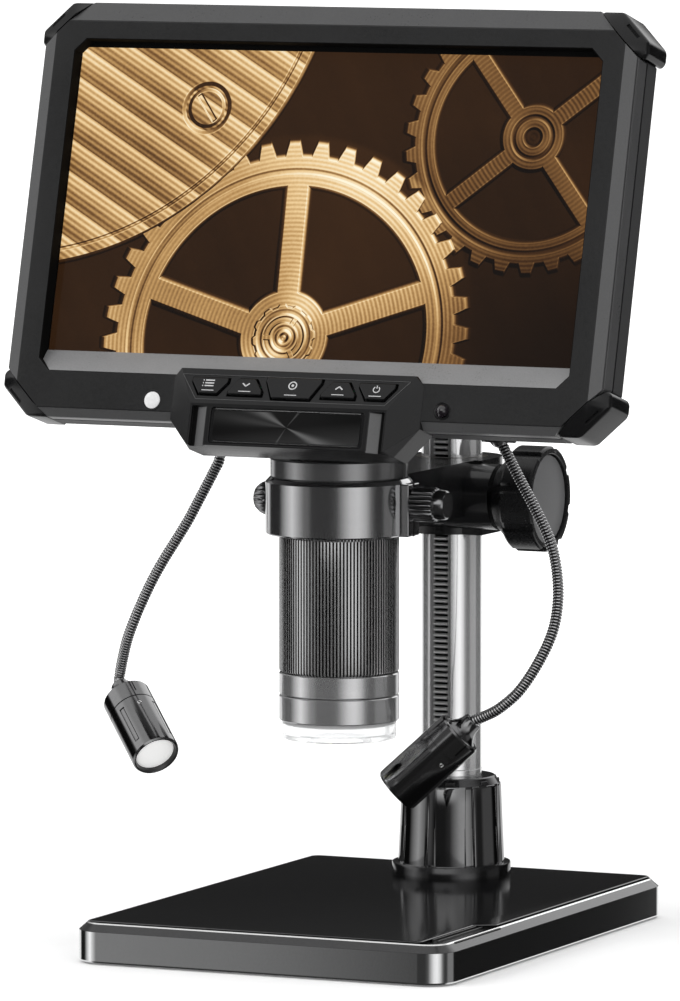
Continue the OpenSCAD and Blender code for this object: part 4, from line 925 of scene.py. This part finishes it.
def bumper_shape(top, line):
    """The right upper bumper in the display's frame; the rest are its mirror images."""
    out, step_w = 88.95, -3.05
    front = [(line - top + 3.9, top - 3.9, 0.1), (83.2, line - 83.2, 0.1)]
    low_edge = line - 87.5
    outer = [(out - 8, top), (out, top - 8), (line - top - 0.2, top), (out, low_edge + 1.2),
             (87.3, low_edge)]
    return round_outer(hull(front + outline_at(outer, step_w) + outline_at(outer, -15.3)), 1.9)


def round_outer(shape, width):
    """Rounds the edges of a bumper that lie behind the bezel's front."""
    bm = bmesh.new()
    corners = [bm.verts.new(p) for p in shape.points]
    for face in shape.faces:
        bm.faces.new([corners[i] for i in face])
    bmesh.ops.recalc_face_normals(bm, faces=bm.faces)
    outer = [e for e in bm.edges if all(-15 < v.co.z < -2 for v in e.verts)
             or abs(e.verts[0].co.z - e.verts[1].co.z) > 10]
    bmesh.ops.bevel(bm, geom=outer, offset=width, segments=5, profile=0.5, affect="EDGES",
                    clamp_overlap=True)
    return as_shape(bm)


def build_bumpers():
    bumpers = Shape()
    slots = Shape()
    for top, line, side in ((TOP_EDGE, TOP_LINE + 0.4, 1), (LOW_EDGE, LOW_LINE + 0.4, -1)):
        one = bumper_shape(top, line)
        for x in (1, -1):
            mirror = DISPLAY @ Matrix.Diagonal((x, side, 1, 1))
            bumpers.join(one, mirror)
            slit = at(84.3, top - 5.3, 0) @ turned("Z", -45)
            slots.join(box((-2.4, -0.4, -2.6), (2.4, 0.4, 1)), mirror @ slit)
    piece("corner_bumpers", bumpers, "bumper_black", "corner_bumpers", replace=True, sharp=35,
          edge=0.3, cuts=(slots,))


def build_display_details():
    for u, profile, name, look, node in (
            (-DOT_U, [(1.9, -0.6), (2.3, -0.2), (2.3, 0.05), (2, 0.25), (1.2, 0.4), (0.01, 0.45)],
             "light_window", "window_white", "light_window"),
            (-DOT_U, [(2.35, -0.5), (2.35, 0.12), (2.75, 0.12), (2.9, -0.02), (2.9, -0.5)],
             "window_seat", "bezel_black", "front_bezel"),
            (DOT_U, [(1.8, -0.6), (1.85, 0.1), (1.6, 0.9), (1, 1.5), (0.4, 1.75), (0.01, 1.8)],
             "sensor_dome", "dome_dark", "sensor_dome"),
            (DOT_U, [(1.9, -0.4), (1.95, 0.1), (2.3, 0.15), (2.5, -0.02), (2.5, -0.4)],
             "dome_seat", "key_black", "front_bezel")):
        own = name == node
        turned_piece = lathe(profile, DISPLAY @ at(u, DOT_V, 0), 48, not own)
        piece(name, turned_piece, look, node, replace=own)
    for node in ("lcd_module", "main_board", "battery_pack", "key_board"):
        keep(node, 0.1)
    for node in ("shell_screws", "usb_port", "card_slot", "lamp_sockets"):
        keep(node, 0.15)
    keep("rear_shell", 0.5)


# ---- Screen

LIT_HALF, LIT_LOW, LIT_TOP = 77.04, -41.9, 44
BIG_WHEEL = (-8, -34)
SMALL_WHEEL = (58, 22)


def build_screen():
    picture = box((-LIT_HALF, LIT_LOW, -WINDOW_DEPTH - 0.6), (LIT_HALF, LIT_TOP, -WINDOW_DEPTH),
                  DISPLAY)
    piece("screen_picture", picture, "screen_picture", "screen_glass", replace=True)


def polar(x, y, centre_x, centre_y):
    """The distance from a centre, and the angle round it."""
    x, y = x - centre_x, y - centre_y
    return (x * x + y * y).power(0.5), y.math("ARCTAN2", x)


def gear_relief(x, y, centre, radius, teeth, rim, hub, spokes, top, turn):
    """The height of a spoked wheel with cut teeth, in millimetres."""
    r, angle = polar(x, y, *centre)
    tooth = ((angle + turn) * teeth).sin() * 2.4
    tooth = tooth.highest(-1).lowest(1) * (radius * 0.035)
    edge = (tooth - r + radius).step(-0.5, 1.1)
    spoke_turn = TURN / spokes
    local = (angle + turn).math("FLOORED_MODULO", spoke_turn) - spoke_turn / 2
    spoke = (local.sin() * r).abs().step(radius * 0.085, radius * 0.055)
    solid = (r - (radius - rim)).step(-0.6, 0.6).highest((r - hub).step(0.6, -0.6)).highest(spoke)
    groove = (r - (radius - rim * 0.6)).abs().step(1, 0.3) * 0.45
    groove = groove + (r - hub * 0.62).abs().step(0.9, 0.2) * 0.5
    fine = (r * 5.2).sin() * 0.035
    bore = (r - hub * 0.28).step(0.4, -0.4) * 1.2
    return edge * solid * (groove * -1 + fine + top) - bore * edge


def bridge_relief(x, y):
    """A curved plate with straight grained stripes, over part of the wheels."""
    r, _ = polar(x, y, -95, 75)
    inside = (r - 92).step(0.8, -0.6)
    across = x * 0.5 + y * 0.866
    stripes = (across * 0.42).sin().abs() * 0.7
    lines = (across * 4.2).sin() * 0.05
    border = (r - 88.5).abs().step(0.7, 0.2) * 0.5
    hole_r, _ = polar(x, y, -38, 28)
    hole = (hole_r - 6.5).step(0.8, -0.4) * 2.6
    head = (hole_r - 4.8).step(0.7, -0.3) * 2
    bar_x, bar_y = x + 38, y - 28
    slot = (bar_x * 0.8 + bar_y * 0.6).abs().step(0.9, 0.5) * (hole_r - 4.4).step(0.2, -0.2) * 0.9
    return inside * (stripes + lines - border + 5.2) - hole * inside + head * inside - slot


def build_relief():
    """A node group: the height of a clockwork close-up at a point of the screen."""
    group = bpy.data.node_groups.new("relief", "ShaderNodeTree")
    for name in "XY":
        group.interface.new_socket(name, in_out="INPUT", socket_type="NodeSocketFloat")
    group.interface.new_socket("Height", in_out="OUTPUT", socket_type="NodeSocketFloat")
    start = group.nodes.new("NodeGroupInput")
    end = group.nodes.new("NodeGroupOutput")
    x, y = Field(group, start.outputs["X"]), Field(group, start.outputs["Y"])
    large = gear_relief(x, y, BIG_WHEEL, 52, 40, 11, 13, 5, 3.4, 0.3)
    second = gear_relief(x, y, SMALL_WHEEL, 36, 30, 8, 9, 4, 1.9, 0.1)
    pinion = gear_relief(x, y, BIG_WHEEL, 9.5, 12, 4, 4.5, 3, 4.4, 0)
    base = (x * 0.35 + y * 0.2).sin() * 0.12 + (y * 0.9 - x * 0.6).sin() * 0.03
    height = base.highest(large).highest(second).highest(pinion).highest(bridge_relief(x, y))
    group.links.new(height.socket, end.inputs["Height"])
    return group


def display_place(tree, centre_v, w):
    """Where a point lies: in the object, and across and up the display in millimetres."""
    place = add_node(tree, "TexCoord").outputs["Object"]
    split = add_node(tree, "SeparateXYZ", {"Vector": place})
    centre = DISPLAY @ Vector((0, centre_v, w))
    return (place, Field(tree, split.outputs["X"]) / MM,
            (Field(tree, split.outputs["Z"]) / MM - centre.z) / lean_cos)


def noise_field(tree, place, scale, detail):
    return Field(tree, add_node(tree, "TexNoise", {"Vector": place, "Scale": scale,
                                                   "Detail": detail}).outputs["Fac"])


def screen_material():
    """A lit picture of brass clockwork, worked out from a relief and one lamp direction."""
    tree, shader = new_material("screen_picture")
    set_inputs(shader, {"Base Color": (*grey(0.004), 1), "Roughness": 0.1,
                        "Specular IOR Level": 0.2, "Emission Strength": 1})
    place, u, v = display_place(tree, 0, -WINDOW_DEPTH)
    relief = build_relief()

    def height(x, y):
        node = tree.nodes.new("ShaderNodeGroup")
        node.node_tree = relief
        tree.links.new(x.socket, node.inputs["X"])
        tree.links.new(y.socket, node.inputs["Y"])
        return Field(tree, node.outputs["Height"])

    gap = 0.25
    here = height(u, v)
    slope_x = (height(u + gap, v) - here) / gap
    slope_y = (height(u, v + gap) - here) / gap
    length = (slope_x * slope_x + slope_y * slope_y + 1).power(0.5)
    facing = (slope_x * -0.52 - slope_y * 0.5 + 0.7) / length
    shine = facing.highest(0).power(6)
    grain = noise_field(tree, place, 1500, 4)
    broad = noise_field(tree, place, 22, 3)
    r, angle = polar(u, v, *BIG_WHEEL)
    sheen = ((angle * 2 - 2.1).math("COSINE") * 0.5 + 0.5).power(2) * (r - 55).step(1, -1)
    _, angle2 = polar(u, v, *SMALL_WHEEL)
    sheen2 = ((angle2 * 2 + 0.9).math("COSINE") * 0.5 + 0.5).power(2)
    raised = here.step(0.2, 3.6) * 0.75 + 0.12
    tone = raised * (facing.highest(0) * 0.42 + sheen * 0.26 + sheen2 * 0.1) + shine * raised * 0.3
    tone = tone + (grain - 0.5) * 0.12 * raised + (broad - 0.5) * 0.35 * raised
    corner = ((u - 74) * (u - 74) + (v + 48) * (v + 48)).power(0.5)
    tone = tone * (corner.step(8, 60) * 0.75 + 0.25) * 1.45
    colour = ramp(tree, tone.socket, [
        (0, (0.004, 0.0015, 0.0005)), (0.14, (0.05, 0.02, 0.006)), (0.3, (0.2, 0.095, 0.03)),
        (0.5, (0.52, 0.3, 0.11)), (0.72, (0.85, 0.6, 0.3)), (1, (1, 0.92, 0.7))])
    tree.links.new(colour, shader.inputs["Emission Color"])


# ---- Control pod

POD_BREAK = 54
PLATE = (21.6, 4.35, -59.8)
POD_PROUD = 4.8
POD_TOP = 43.6
FACE_TOP_W = 0.9
key_lean = degrees(atan((POD_PROUD - FACE_TOP_W) / (POD_BREAK - POD_TOP)))
KEY_FACE = DISPLAY @ at(0, -POD_BREAK, POD_PROUD) @ turned("X", -key_lean) @ at(0, POD_BREAK, 0)
KEY_V = -48.8
POCKET = 1.9
MARK = (0.6, 0.76)
KEYS = {"menu": (-24.4, 5.2, 4.9, 1), "down": (-13.6, 4.9, 4.9, -1), "ok": (0, 8, 6.3, 1),
        "up": (13.6, 4.9, 4.9, -1), "power": (24.4, 5.2, 4.9, 1)}


def key_outline(u, half, height, flip, gap):
    shrink = 2.6
    h = height / 2
    points = [(-half - gap, flip * (h + gap)), (half + gap, flip * (h + gap)),
              (half + gap, flip * (h - 1.2)), (half - shrink + gap, -flip * (h + gap)),
              (-half + shrink - gap, -flip * (h + gap)), (-half - gap, flip * (h - 1.2))]
    return [(u + x, KEY_V + y) for x, y in points]


def bar(u0, v0, u1, v1, width, low=MARK[0], high=MARK[1]):
    """A straight mark on the key face from one point to another."""
    a, b = Vector((u0, v0)), Vector((u1, v1))
    along = (b - a).normalized() * width / 2
    across = Vector((-along.y, along.x))
    a, b = a - along * 0.6, b + along * 0.6
    return slab([tuple(p) for p in (a - across, b - across, b + across, a + across)], low, high,
                KEY_FACE)


def arc_mark(u, v, radius, width, first, last):
    """A round stroke between two angles in degrees."""
    steps = 20
    turns = [radians(first + (last - first) * i / steps) for i in range(steps + 1)]
    outline = [(u + r * cos(a), v + r * sin(a))
               for r, way in ((radius + width / 2, 1), (radius - width / 2, -1))
               for a in turns[::way]]
    return slab(outline, *MARK, KEY_FACE)


def key_marks(name, u):
    """Plain signs: a list, arrows, a target and a power ring, each over a short line."""
    v = KEY_V + 0.5
    marks = Shape()

    def stroke(u0, v0, u1, v1, width=0.36):
        marks.join(bar(u + u0, v0, u + u1, v1, width))

    if name == "menu":
        for row in (-0.7, 0.15, 1):
            stroke(-1.1, v + row, 1.3, v + row)
            stroke(-1.8, v + row, -1.75, v + row)
    elif name == "ok":
        marks.join(arc_mark(u, v + 0.25, 1.1, 0.34, 0, 359))
        dot = [(u + x, v + 0.25 + y) for x, y, _ in circle(0.38, 0, 16)]
        marks.join(slab(dot, *MARK, KEY_FACE))
    elif name == "power":
        marks.join(arc_mark(u, v, 0.9, 0.28, 125, 415))
        stroke(0, v + 0.4, 0, v + 1.1, 0.28)
    else:
        tip = -0.75 if name == "down" else 0.75
        for foot in (-0.95, 0.95):
            stroke(foot, v - tip * 0.5, 0, v + tip * 0.6)
    line_v = KEY_V - (2.2 if name == "ok" else 1.55)
    stroke(-1.7, line_v, 1.7, line_v, 0.22)
    return marks


def key_tray():
    """The fine raised line round the row of keys."""
    corners = [(-33.2, -45.2), (33.2, -45.2), (27.6, -52.7), (-27.6, -52.7)]
    tray = Shape()
    for start, end in zip(corners, corners[1:] + corners[:1]):
        tray.join(bar(*start, *end, 0.16, -0.2, 0.05))
    return tray


def build_pod():
    corners = [(34.5, -43.9, 0), (36.5, -46.4, 0), (36.5, -58, 0), (36.5, -58.2, -8.9),
               (29.8, -65.9, -8.9), (29.8, -65.9, 0), (28.6, -54, POD_PROUD),
               (28.6, -65.2, POD_PROUD), (34.2, -44, FACE_TOP_W)]
    body = hull([(x * u, v, w) for x in (1, -1) for u, v, w in corners], DISPLAY)
    grooves, strips, slot_shade_strips = Shape(), Shape(), Shape()
    for x in (1, -1):
        for shape, outline, first, last in (
                (grooves, [(23.6, 4.81), (28.1, 5.4), (28.1, 3.5), (26.8, 3.5)], -54.7, -69),
                (strips, [(23.8, 4.74), (26.75, 3.58), (26.75, 3.3), (23.6, 4.5)], -54.9, -65.6),
                (slot_shade_strips, [(26.85, 3.35), (28.15, 3.35), (28.15, 3.55), (26.85, 3.55)],
                 -54.8, -65.4)):
            shape.join(loft([[(x * u, v, w) for u, w in outline] for v in (first, last)],
                            DISPLAY))
    pockets = Shape()
    for key in KEYS.values():
        pockets.join(slab(key_outline(*key, 0.35), -POCKET, 1, KEY_FACE))
    bed = [(u, PLATE[2] + v) for u, v in rounded_outline(22.4, 4.85, 0.9, 4)]
    recess = slab(bed, POD_PROUD - 0.9, POD_PROUD + 1, DISPLAY)
    piece("pod_body", body, "pod_black", "pod_shell", replace=True, sharp=12, edge=0.16,
          cuts=(grooves, pockets, recess))
    # The slanted strips take the lighter copy of the pod's black as painted light
    piece("pod_strips", strips, "pod_edge_lit", "pod_shell", edge=0.1)
    # Near-black strips at the grooves' bottoms, as painted shade
    piece("pod_slot_shade", slot_shade_strips, "dark_gap", "pod_shell")
    piece("plate_bed", slab(bed, POD_PROUD - 0.95, POD_PROUD - 0.35, DISPLAY), "key_black",
          "pod_shell", edge=0.1)
    # The key tray's line takes the same painted light
    piece("key_tray", key_tray(), "pod_edge_lit", "pod_shell", edge=0.05)
    for name, key in KEYS.items():
        node = "key_" + name
        cap = slab(key_outline(*key, 0), -1, 0.7, KEY_FACE)
        piece("cap_" + name, cap, "key_black", node, replace=True, sharp=12, edge=0.3)
        piece("sign_" + name, key_marks(name, key[0]), "mark_grey", node)
    build_plate()


def build_plate():
    half, high, v = PLATE
    place = DISPLAY @ at(0, v, 0)
    back = POD_PROUD - 0.5
    plate = slab(rounded_outline(half - 0.2, high - 0.3, 0.8, 5), back, POD_PROUD - 0.1, place)
    piece("pod_plate", plate, "pod_plate", "pod_plate", replace=True, edge=0.1)
    rims = Shape()
    for y, width in ((high, 0.32), (-high, 0.2)):
        side = [(y + width, back), (y + width, POD_PROUD - 0.35), (y, POD_PROUD - 0.02),
                (y - 0.1, back)]
        rims.join(loft([[(u, y_at, w) for y_at, w in side] for u in (-half + 0.5, half - 0.5)],
                       place))
    piece("plate_rims", rims, "base_line", "pod_plate")


def plate_material():
    """Spun metal film, near black, with painted highlights: soft wedges of painted reflection turn
    round the plate's centre and fade outwards, and the plate is painted lighter towards its lower
    side.
    """
    tree, shader = new_material("pod_plate")
    _, u, v = display_place(tree, PLATE[2], POD_PROUD)
    angle = v.math("ARCTAN2", u) * (180 / pi)
    tone = 0.006
    # Painted highlights: each wedge adds light to the colour by its angle round the centre
    for middle, wide, strength in ((152, 20, 0.1), (-22, 16, 0.1), (52, 7, 0.05),
                                   (-120, 7, 0.05), (172, 14, 0.03)):
        away = (angle - middle + 180).math("FLOORED_MODULO", 360) - 180
        wedge_highlight = away.abs().step(wide, 0)
        tone = wedge_highlight * wedge_highlight * strength + tone
    radius = (u * u + v * v).power(0.5)
    rings = (radius * 12).sin() * 0.1 + 1
    fade = radius.step(24, 4) * 0.6 + 0.4
    # Painted reflection: the colour grows lighter below the plate's centre
    lower = (v * 0.008 - u * 0.0009).lowest(0).abs() * 0.5
    shade = ramp(tree, (tone * rings * fade + lower).socket, [(0, grey(0)), (1, grey(1))])
    tree.links.new(shade, shader.inputs["Base Color"])
    set_inputs(shader, {"Metallic": 0.2, "Specular IOR Level": 0.2, "Roughness": 0.3})


# ---- Side lamps

LEFT_BEND = [
    (-41, -9.5, 138.7), (-41.6, -9.5, 130.5), (-43.5, -9.3, 126.5), (-48.1, -9.1, 118.5),
    (-51.4, -8.9, 112.9), (-55.3, -8.7, 107.1), (-59.1, -8.5, 101.6), (-62.6, -8.2, 96),
    (-65.6, -8, 90.4), (-68.4, -7.7, 84.7), (-71.3, -6.2, 79), (-74, -3.6, 73.2),
    (-75.6, -1.9, 69.3), (-75.6, -2.6, 67.1), (-74.3, -4.6, 66.1)]
RIGHT_BEND = [
    (41, -9.5, 138.7), (42.8, -9.5, 135.5), (47.1, -9.3, 127.7), (51.4, -9.2, 120.3),
    (55.7, -9.1, 111.9), (57.6, -9, 104.4), (58, -8.8, 96), (56.5, -8.6, 87.7),
    (52.6, -8.4, 79.5), (46.8, -8.3, 71.1), (40.9, -8, 66), (36.4, -7.3, 63.6), (32.6, -7, 62)]
AIM = {"left": (0.629, -0.501, -0.592), "right": (-0.705, -0.207, -0.678)}
NECK_R = 1.5
LAMP_R = 6.65
LAMP_START = 4.8
LAMP_LENGTH = 23.8
# The lamps' slots are turned from this direction
SLOTS_FROM = (0.417, -0.904, 0.094)


def lamp_place(tip, aim):
    """The frame whose Z runs along the beam from the ferrule's narrow end."""
    z = Vector(aim).normalized()
    x = Vector((0, 0, 1)).cross(z).normalized()
    y = z.cross(x)
    turn = Matrix((x, y, z)).transposed().to_4x4()
    return at(*tip) @ turn


def build_lamp(side):
    bend = LEFT_BEND if side == "left" else RIGHT_BEND
    place = lamp_place(bend[-1], AIM[side])
    node = "lamp_%s_housing" % side
    start, r = LAMP_START, LAMP_R
    front = start + LAMP_LENGTH
    seam = start + 5.9
    horn = lathe([(1.6, 1.1), (1.6, 0.1), (2.5, 0), (2.65, 0.25), (2.7, 0.9), (2.85, 1.8),
                  (3.2, 2.8), (3.9, 3.8), (4.7, 4.5), (5.1, 4.75), (5.1, 5.4), (1.6, 5.4)],
                 place, 72, True)
    piece("ferrule_" + side, horn, "lamp_dark", node, sharp=25)
    body = lathe([(2, start + 0.3), (5.2, start + 0.3), (5.3, start), (6.2, start),
                  (r, start + 0.5), (r, seam), (r - 0.25, seam + 0.08), (r - 0.25, seam + 0.3),
                  (r, seam + 0.38), (r, front - 1.2), (r - 0.05, front - 0.5),
                  (r - 0.35, front), (6.1, front), (6, front - 0.1), (5.9, front - 3)], place)
    cuts = []
    toward = place.inverted().to_3x3() @ Vector(SLOTS_FROM)
    facing = degrees(atan2(toward.y, toward.x))
    bars = Shape()
    for turn in range(4):
        spot = place @ turned("Z", facing + 20 + 90 * turn)
        first, last = seam + 2.2, front - 3
        cuts.append(box((r - 0.35, -0.8, first), (r + 1, 0.8, last), spot))
        bars.join(box((r - 0.5, -0.5, first + 0.3), (r - 0.08, 0.5, last - 0.3), spot))
        cuts.append(box((r - 0.6, -0.2, start - 1), (r + 1, 0.2, seam - 1.6),
                        spot @ turned("Z", 38)))
    piece("lamp_body_" + side, body, "lamp_dark", node, replace=True, sharp=25, cuts=cuts)
    piece("lamp_bars_" + side, bars, "lamp_dark", node, edge=0.12)
    spot = place @ turned("Z", facing - 26) @ at(r - 0.2, 0, seam + 3) @ turned("Y", 90)
    dot = lathe([(0.6, 0), (0.6, 0.2), (0.45, 0.3), (0.3, 0.15)], spot, 24)
    piece("lamp_dots_" + side, dot, "lamp_rim", node)
    lens = lathe([(5.4, front - 2.6), (5.4, front - 1.3), (4.8, front - 1), (2.5, front - 0.8),
                  (0.01, front - 0.75)], place, 72)
    piece("lamp_lens_" + side, lens, "lamp_lens", "lamp_%s_lens" % side, replace=True)
    rim = lathe([(6.15, front - 0.02), (5.9, front - 0.12), (5.45, front - 0.9),
                 (5.4, front - 1.3), (5.4, front - 2.7), (6.1, front - 2.7)], place, 72, True)
    piece("lamp_rim_" + side, rim, "lamp_edge", node)
    build_gooseneck(side, bend)


RIB_PITCH = 0.84
RIB_DEPTH = 0.3
RIB_STEPS = 8
BALL_R = 2.6


def build_gooseneck(side, bend):
    """A ribbed neck, blended from the arm's socket to the lamp, with painted shade between its
    ribs.
    """
    path = even_path(smooth_path(bend, 24), RIB_PITCH / RIB_STEPS)

    def radius_at(i):
        turn = (i % RIB_STEPS) / RIB_STEPS
        return NECK_R + 0.03 - RIB_DEPTH + RIB_DEPTH * sin(pi * turn) ** 0.6

    sides = 20
    neck = tube_along(path, radius_at, sides)
    neck.join(loft([circle(BALL_R * sin(radians(a)), -BALL_R * cos(radians(a)), 32)
                    for a in range(4, 178, 12)], at(*bend[0])))
    node = "gooseneck_" + side
    mesh = make_mesh(node + "_ribs", neck)
    obj = new_object(node + "_ribs", mesh)
    mesh.shade_smooth()
    mesh.set_sharp_from_angle(angle=radians(50))
    mesh.materials.append(MATERIALS["gooseneck_dark"])
    mesh.materials.append(MATERIALS["dark_gap"])
    # Painted shade: the faces between the ribs take the near-black matte
    for i in range((len(path) - 1) * sides):
        if (i // sides) % RIB_STEPS in (0, RIB_STEPS - 1):
            mesh.polygons[i].material_index = 1
    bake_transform(obj)
    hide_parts(node)


# ---- Studio

# Tones round the studio, as polished metal shows them: degrees from TO_CAMERA, brightness
STUDIO = [(-180, 0.95), (-143, 0.95), (-134, 0.01), (-107, 0.01), (-92, 0.7), (-79, 1.25),
          (-70, 0.8), (-57, 0.24), (-50, 0.2), (-43, 0.04), (-16, 0.04), (-4, 0.1), (18, 1),
          (30, 1.15), (42, 0.8), (52, 0.2), (60, 0.05), (70, 0.05), (77, 0.22), (102, 0.22),
          (108, 0.01), (138, 0.01), (147, 0.95), (180, 0.95)]
# The same above eye level, and below it where the floor lies
HIGH = [(-180, 0.1), (-125, 0.4), (-108, 1.3), (-75, 1.3), (-64, 0.2), (-40, 0.2), (-32, 1.5),
        (0, 1.5), (12, 1), (30, 0.8), (60, 0.1), (110, 0.1), (135, 1.6), (160, 1.6), (172, 0.1),
        (180, 0.1)]
LOW = [(-180, 0.9), (-90, 0.9), (-65, 0.06), (65, 0.06), (90, 0.9), (180, 0.9)]
TO_CAMERA = -65.24
CAMERA_PLACE = (0.98895, -2.16623, 0.34372)
CAMERA_RIGHT = (0.90807621, 0.41880495, 0)
CAMERA_UP = (-0.03925859, 0.08512267, 0.99559675)
CAMERA_BACK = (0.41696085, -0.90407773, 0.09373956)
CAMERA_LENS = 318.4
FLOOR_R = 14


def build_camera():
    data = bpy.data.cameras.new("camera")
    data.lens = CAMERA_LENS
    data.sensor_width = 36
    data.clip_end = 60
    camera = new_object("camera", data)
    turn = Matrix((CAMERA_RIGHT, CAMERA_UP, CAMERA_BACK)).transposed()
    camera.matrix_world = Matrix.Translation(CAMERA_PLACE) @ turn.to_4x4()
    bpy.context.scene.camera = camera


def rays(tree, path, *kinds):
    """1 for rays of the given kinds, 0 for the rest."""
    first, *others = (Field(tree, path.outputs["Is %s Ray" % kind]) for kind in kinds)
    for other in others:
        first = first + other
    return first.lowest(1).socket


def build_world():
    """Soft upright bands all round, seen by the metal; white where the camera looks."""
    world = bpy.data.worlds.new("studio")
    bpy.context.scene.world = world
    world.use_nodes = True
    tree = world.node_tree
    tree.nodes.clear()
    direction = add_node(tree, "TexCoord").outputs["Generated"]
    split = add_node(tree, "SeparateXYZ", {"Vector": direction})
    x, y, z = (Field(tree, split.outputs[axis]) for axis in "XYZ")
    angle = y.math("ARCTAN2", x) * (180 / pi) - TO_CAMERA
    wrapped = ((angle + 180).math("FLOORED_MODULO", 360) / 360).socket
    above = [(a, 0.03 if abs(a) > 140 else t) for a, t in STUDIO]
    banded, over, high, low = (
        ramp(tree, wrapped, [((a + 180) / 360, grey(t)) for a, t in zone])
        for zone in (STUDIO, above, HIGH, LOW))
    for first, last, tones in ((0, 0.03, over), (0.14, 0.24, high), (-0.2, -0.32, low),
                               (0.6, 0.8, (*grey(0.9), 1)), (-0.76, -0.84, (*grey(0.04), 1))):
        banded = mix(tree, z.step(first, last).socket, banded, tones)
    soft = ramp(tree, (z * 0.5 + 0.5).socket, [(0.3, grey(0.55)), (0.6, grey(0.75)),
                                               (1, grey(1))])
    path = add_node(tree, "LightPath")
    light = mix(tree, path.outputs["Is Diffuse Ray"], banded, soft)
    seen = rays(tree, path, "Camera", "Transmission")
    white = mix(tree, seen, light, (1, 1, 1, 1))
    back = add_node(tree, "Background", {"Color": white})
    out = add_node(tree, "OutputWorld")
    tree.links.new(back.outputs[0], out.inputs["Surface"])


def build_floor():
    """A pale floor whose own glow grows with distance, so that only the shadow shows."""
    bm = bmesh.new()
    bmesh.ops.create_circle(bm, cap_ends=True, segments=96, radius=FLOOR_R)
    mesh = bpy.data.meshes.new("floor")
    bm.to_mesh(mesh)
    bm.free()
    ground = new_object("floor", mesh)
    material = bpy.data.materials.new("floor")
    material.use_nodes = True
    tree = material.node_tree
    tree.nodes.clear()
    place = add_node(tree, "TexCoord").outputs["Object"]
    noise = add_node(tree, "TexNoise", {"Vector": place, "Scale": 40}).outputs["Fac"]
    tone = ramp(tree, noise, [(0.3, grey(0.93)), (0.7, grey(0.95))])
    diffuse = add_node(tree, "BsdfDiffuse", {"Color": tone})
    spot = add_node(tree, "SeparateXYZ", {"Vector": place})
    x, y = Field(tree, spot.outputs["X"]), Field(tree, spot.outputs["Y"])
    far = (x * x + y * y).power(0.5).step(0.12, 0.9) * 0.4 + 0.02
    glow = add_node(tree, "Emission", {"Strength": far.socket})
    lit = add_node(tree, "AddShader", {0: diffuse.outputs[0], 1: glow.outputs[0]})
    path = add_node(tree, "LightPath")
    seen = rays(tree, path, "Camera", "Glossy", "Transmission")
    mixed = add_node(tree, "MixShader", {0: seen, 1: diffuse.outputs[0], 2: lit.outputs[0]})
    out = add_node(tree, "OutputMaterial")
    tree.links.new(mixed.outputs[0], out.inputs["Surface"])
    mesh.materials.append(material)
    ground.visible_glossy = False


def add_light(name, place, target, size, power):
    data = bpy.data.lights.new(name, "AREA")
    data.shape = "RECTANGLE"
    data.size, data.size_y = size
    data.energy = power
    light = new_object(name, data)
    turn = (Vector(target) - Vector(place)).to_track_quat("-Z", "Y").to_matrix().to_4x4()
    light.matrix_world = Matrix.Translation(place) @ turn
    light.visible_camera = False
    light.visible_glossy = False


def build_studio():
    build_camera()
    build_world()
    build_floor()
    add_light("key_light", (-1.6, -1.8, 2.2), (0, 0, 0.12), (1.6, 1.6), 25)
    add_light("top_light", (0.2, 0.4, 2.6), (0, 0, 0.1), (1.8, 1.8), 16)
    bpy.context.scene.view_settings.view_transform = "Standard"


build_studio()
screen_material()
plate_material()
build_base()
build_collar()
build_column()
build_carriage()
build_knobs()
build_head()
build_bezel()
build_bumpers()
build_display_details()
build_screen()
build_pod()
for lamp_side in ("left", "right"):
    build_lamp(lamp_side)
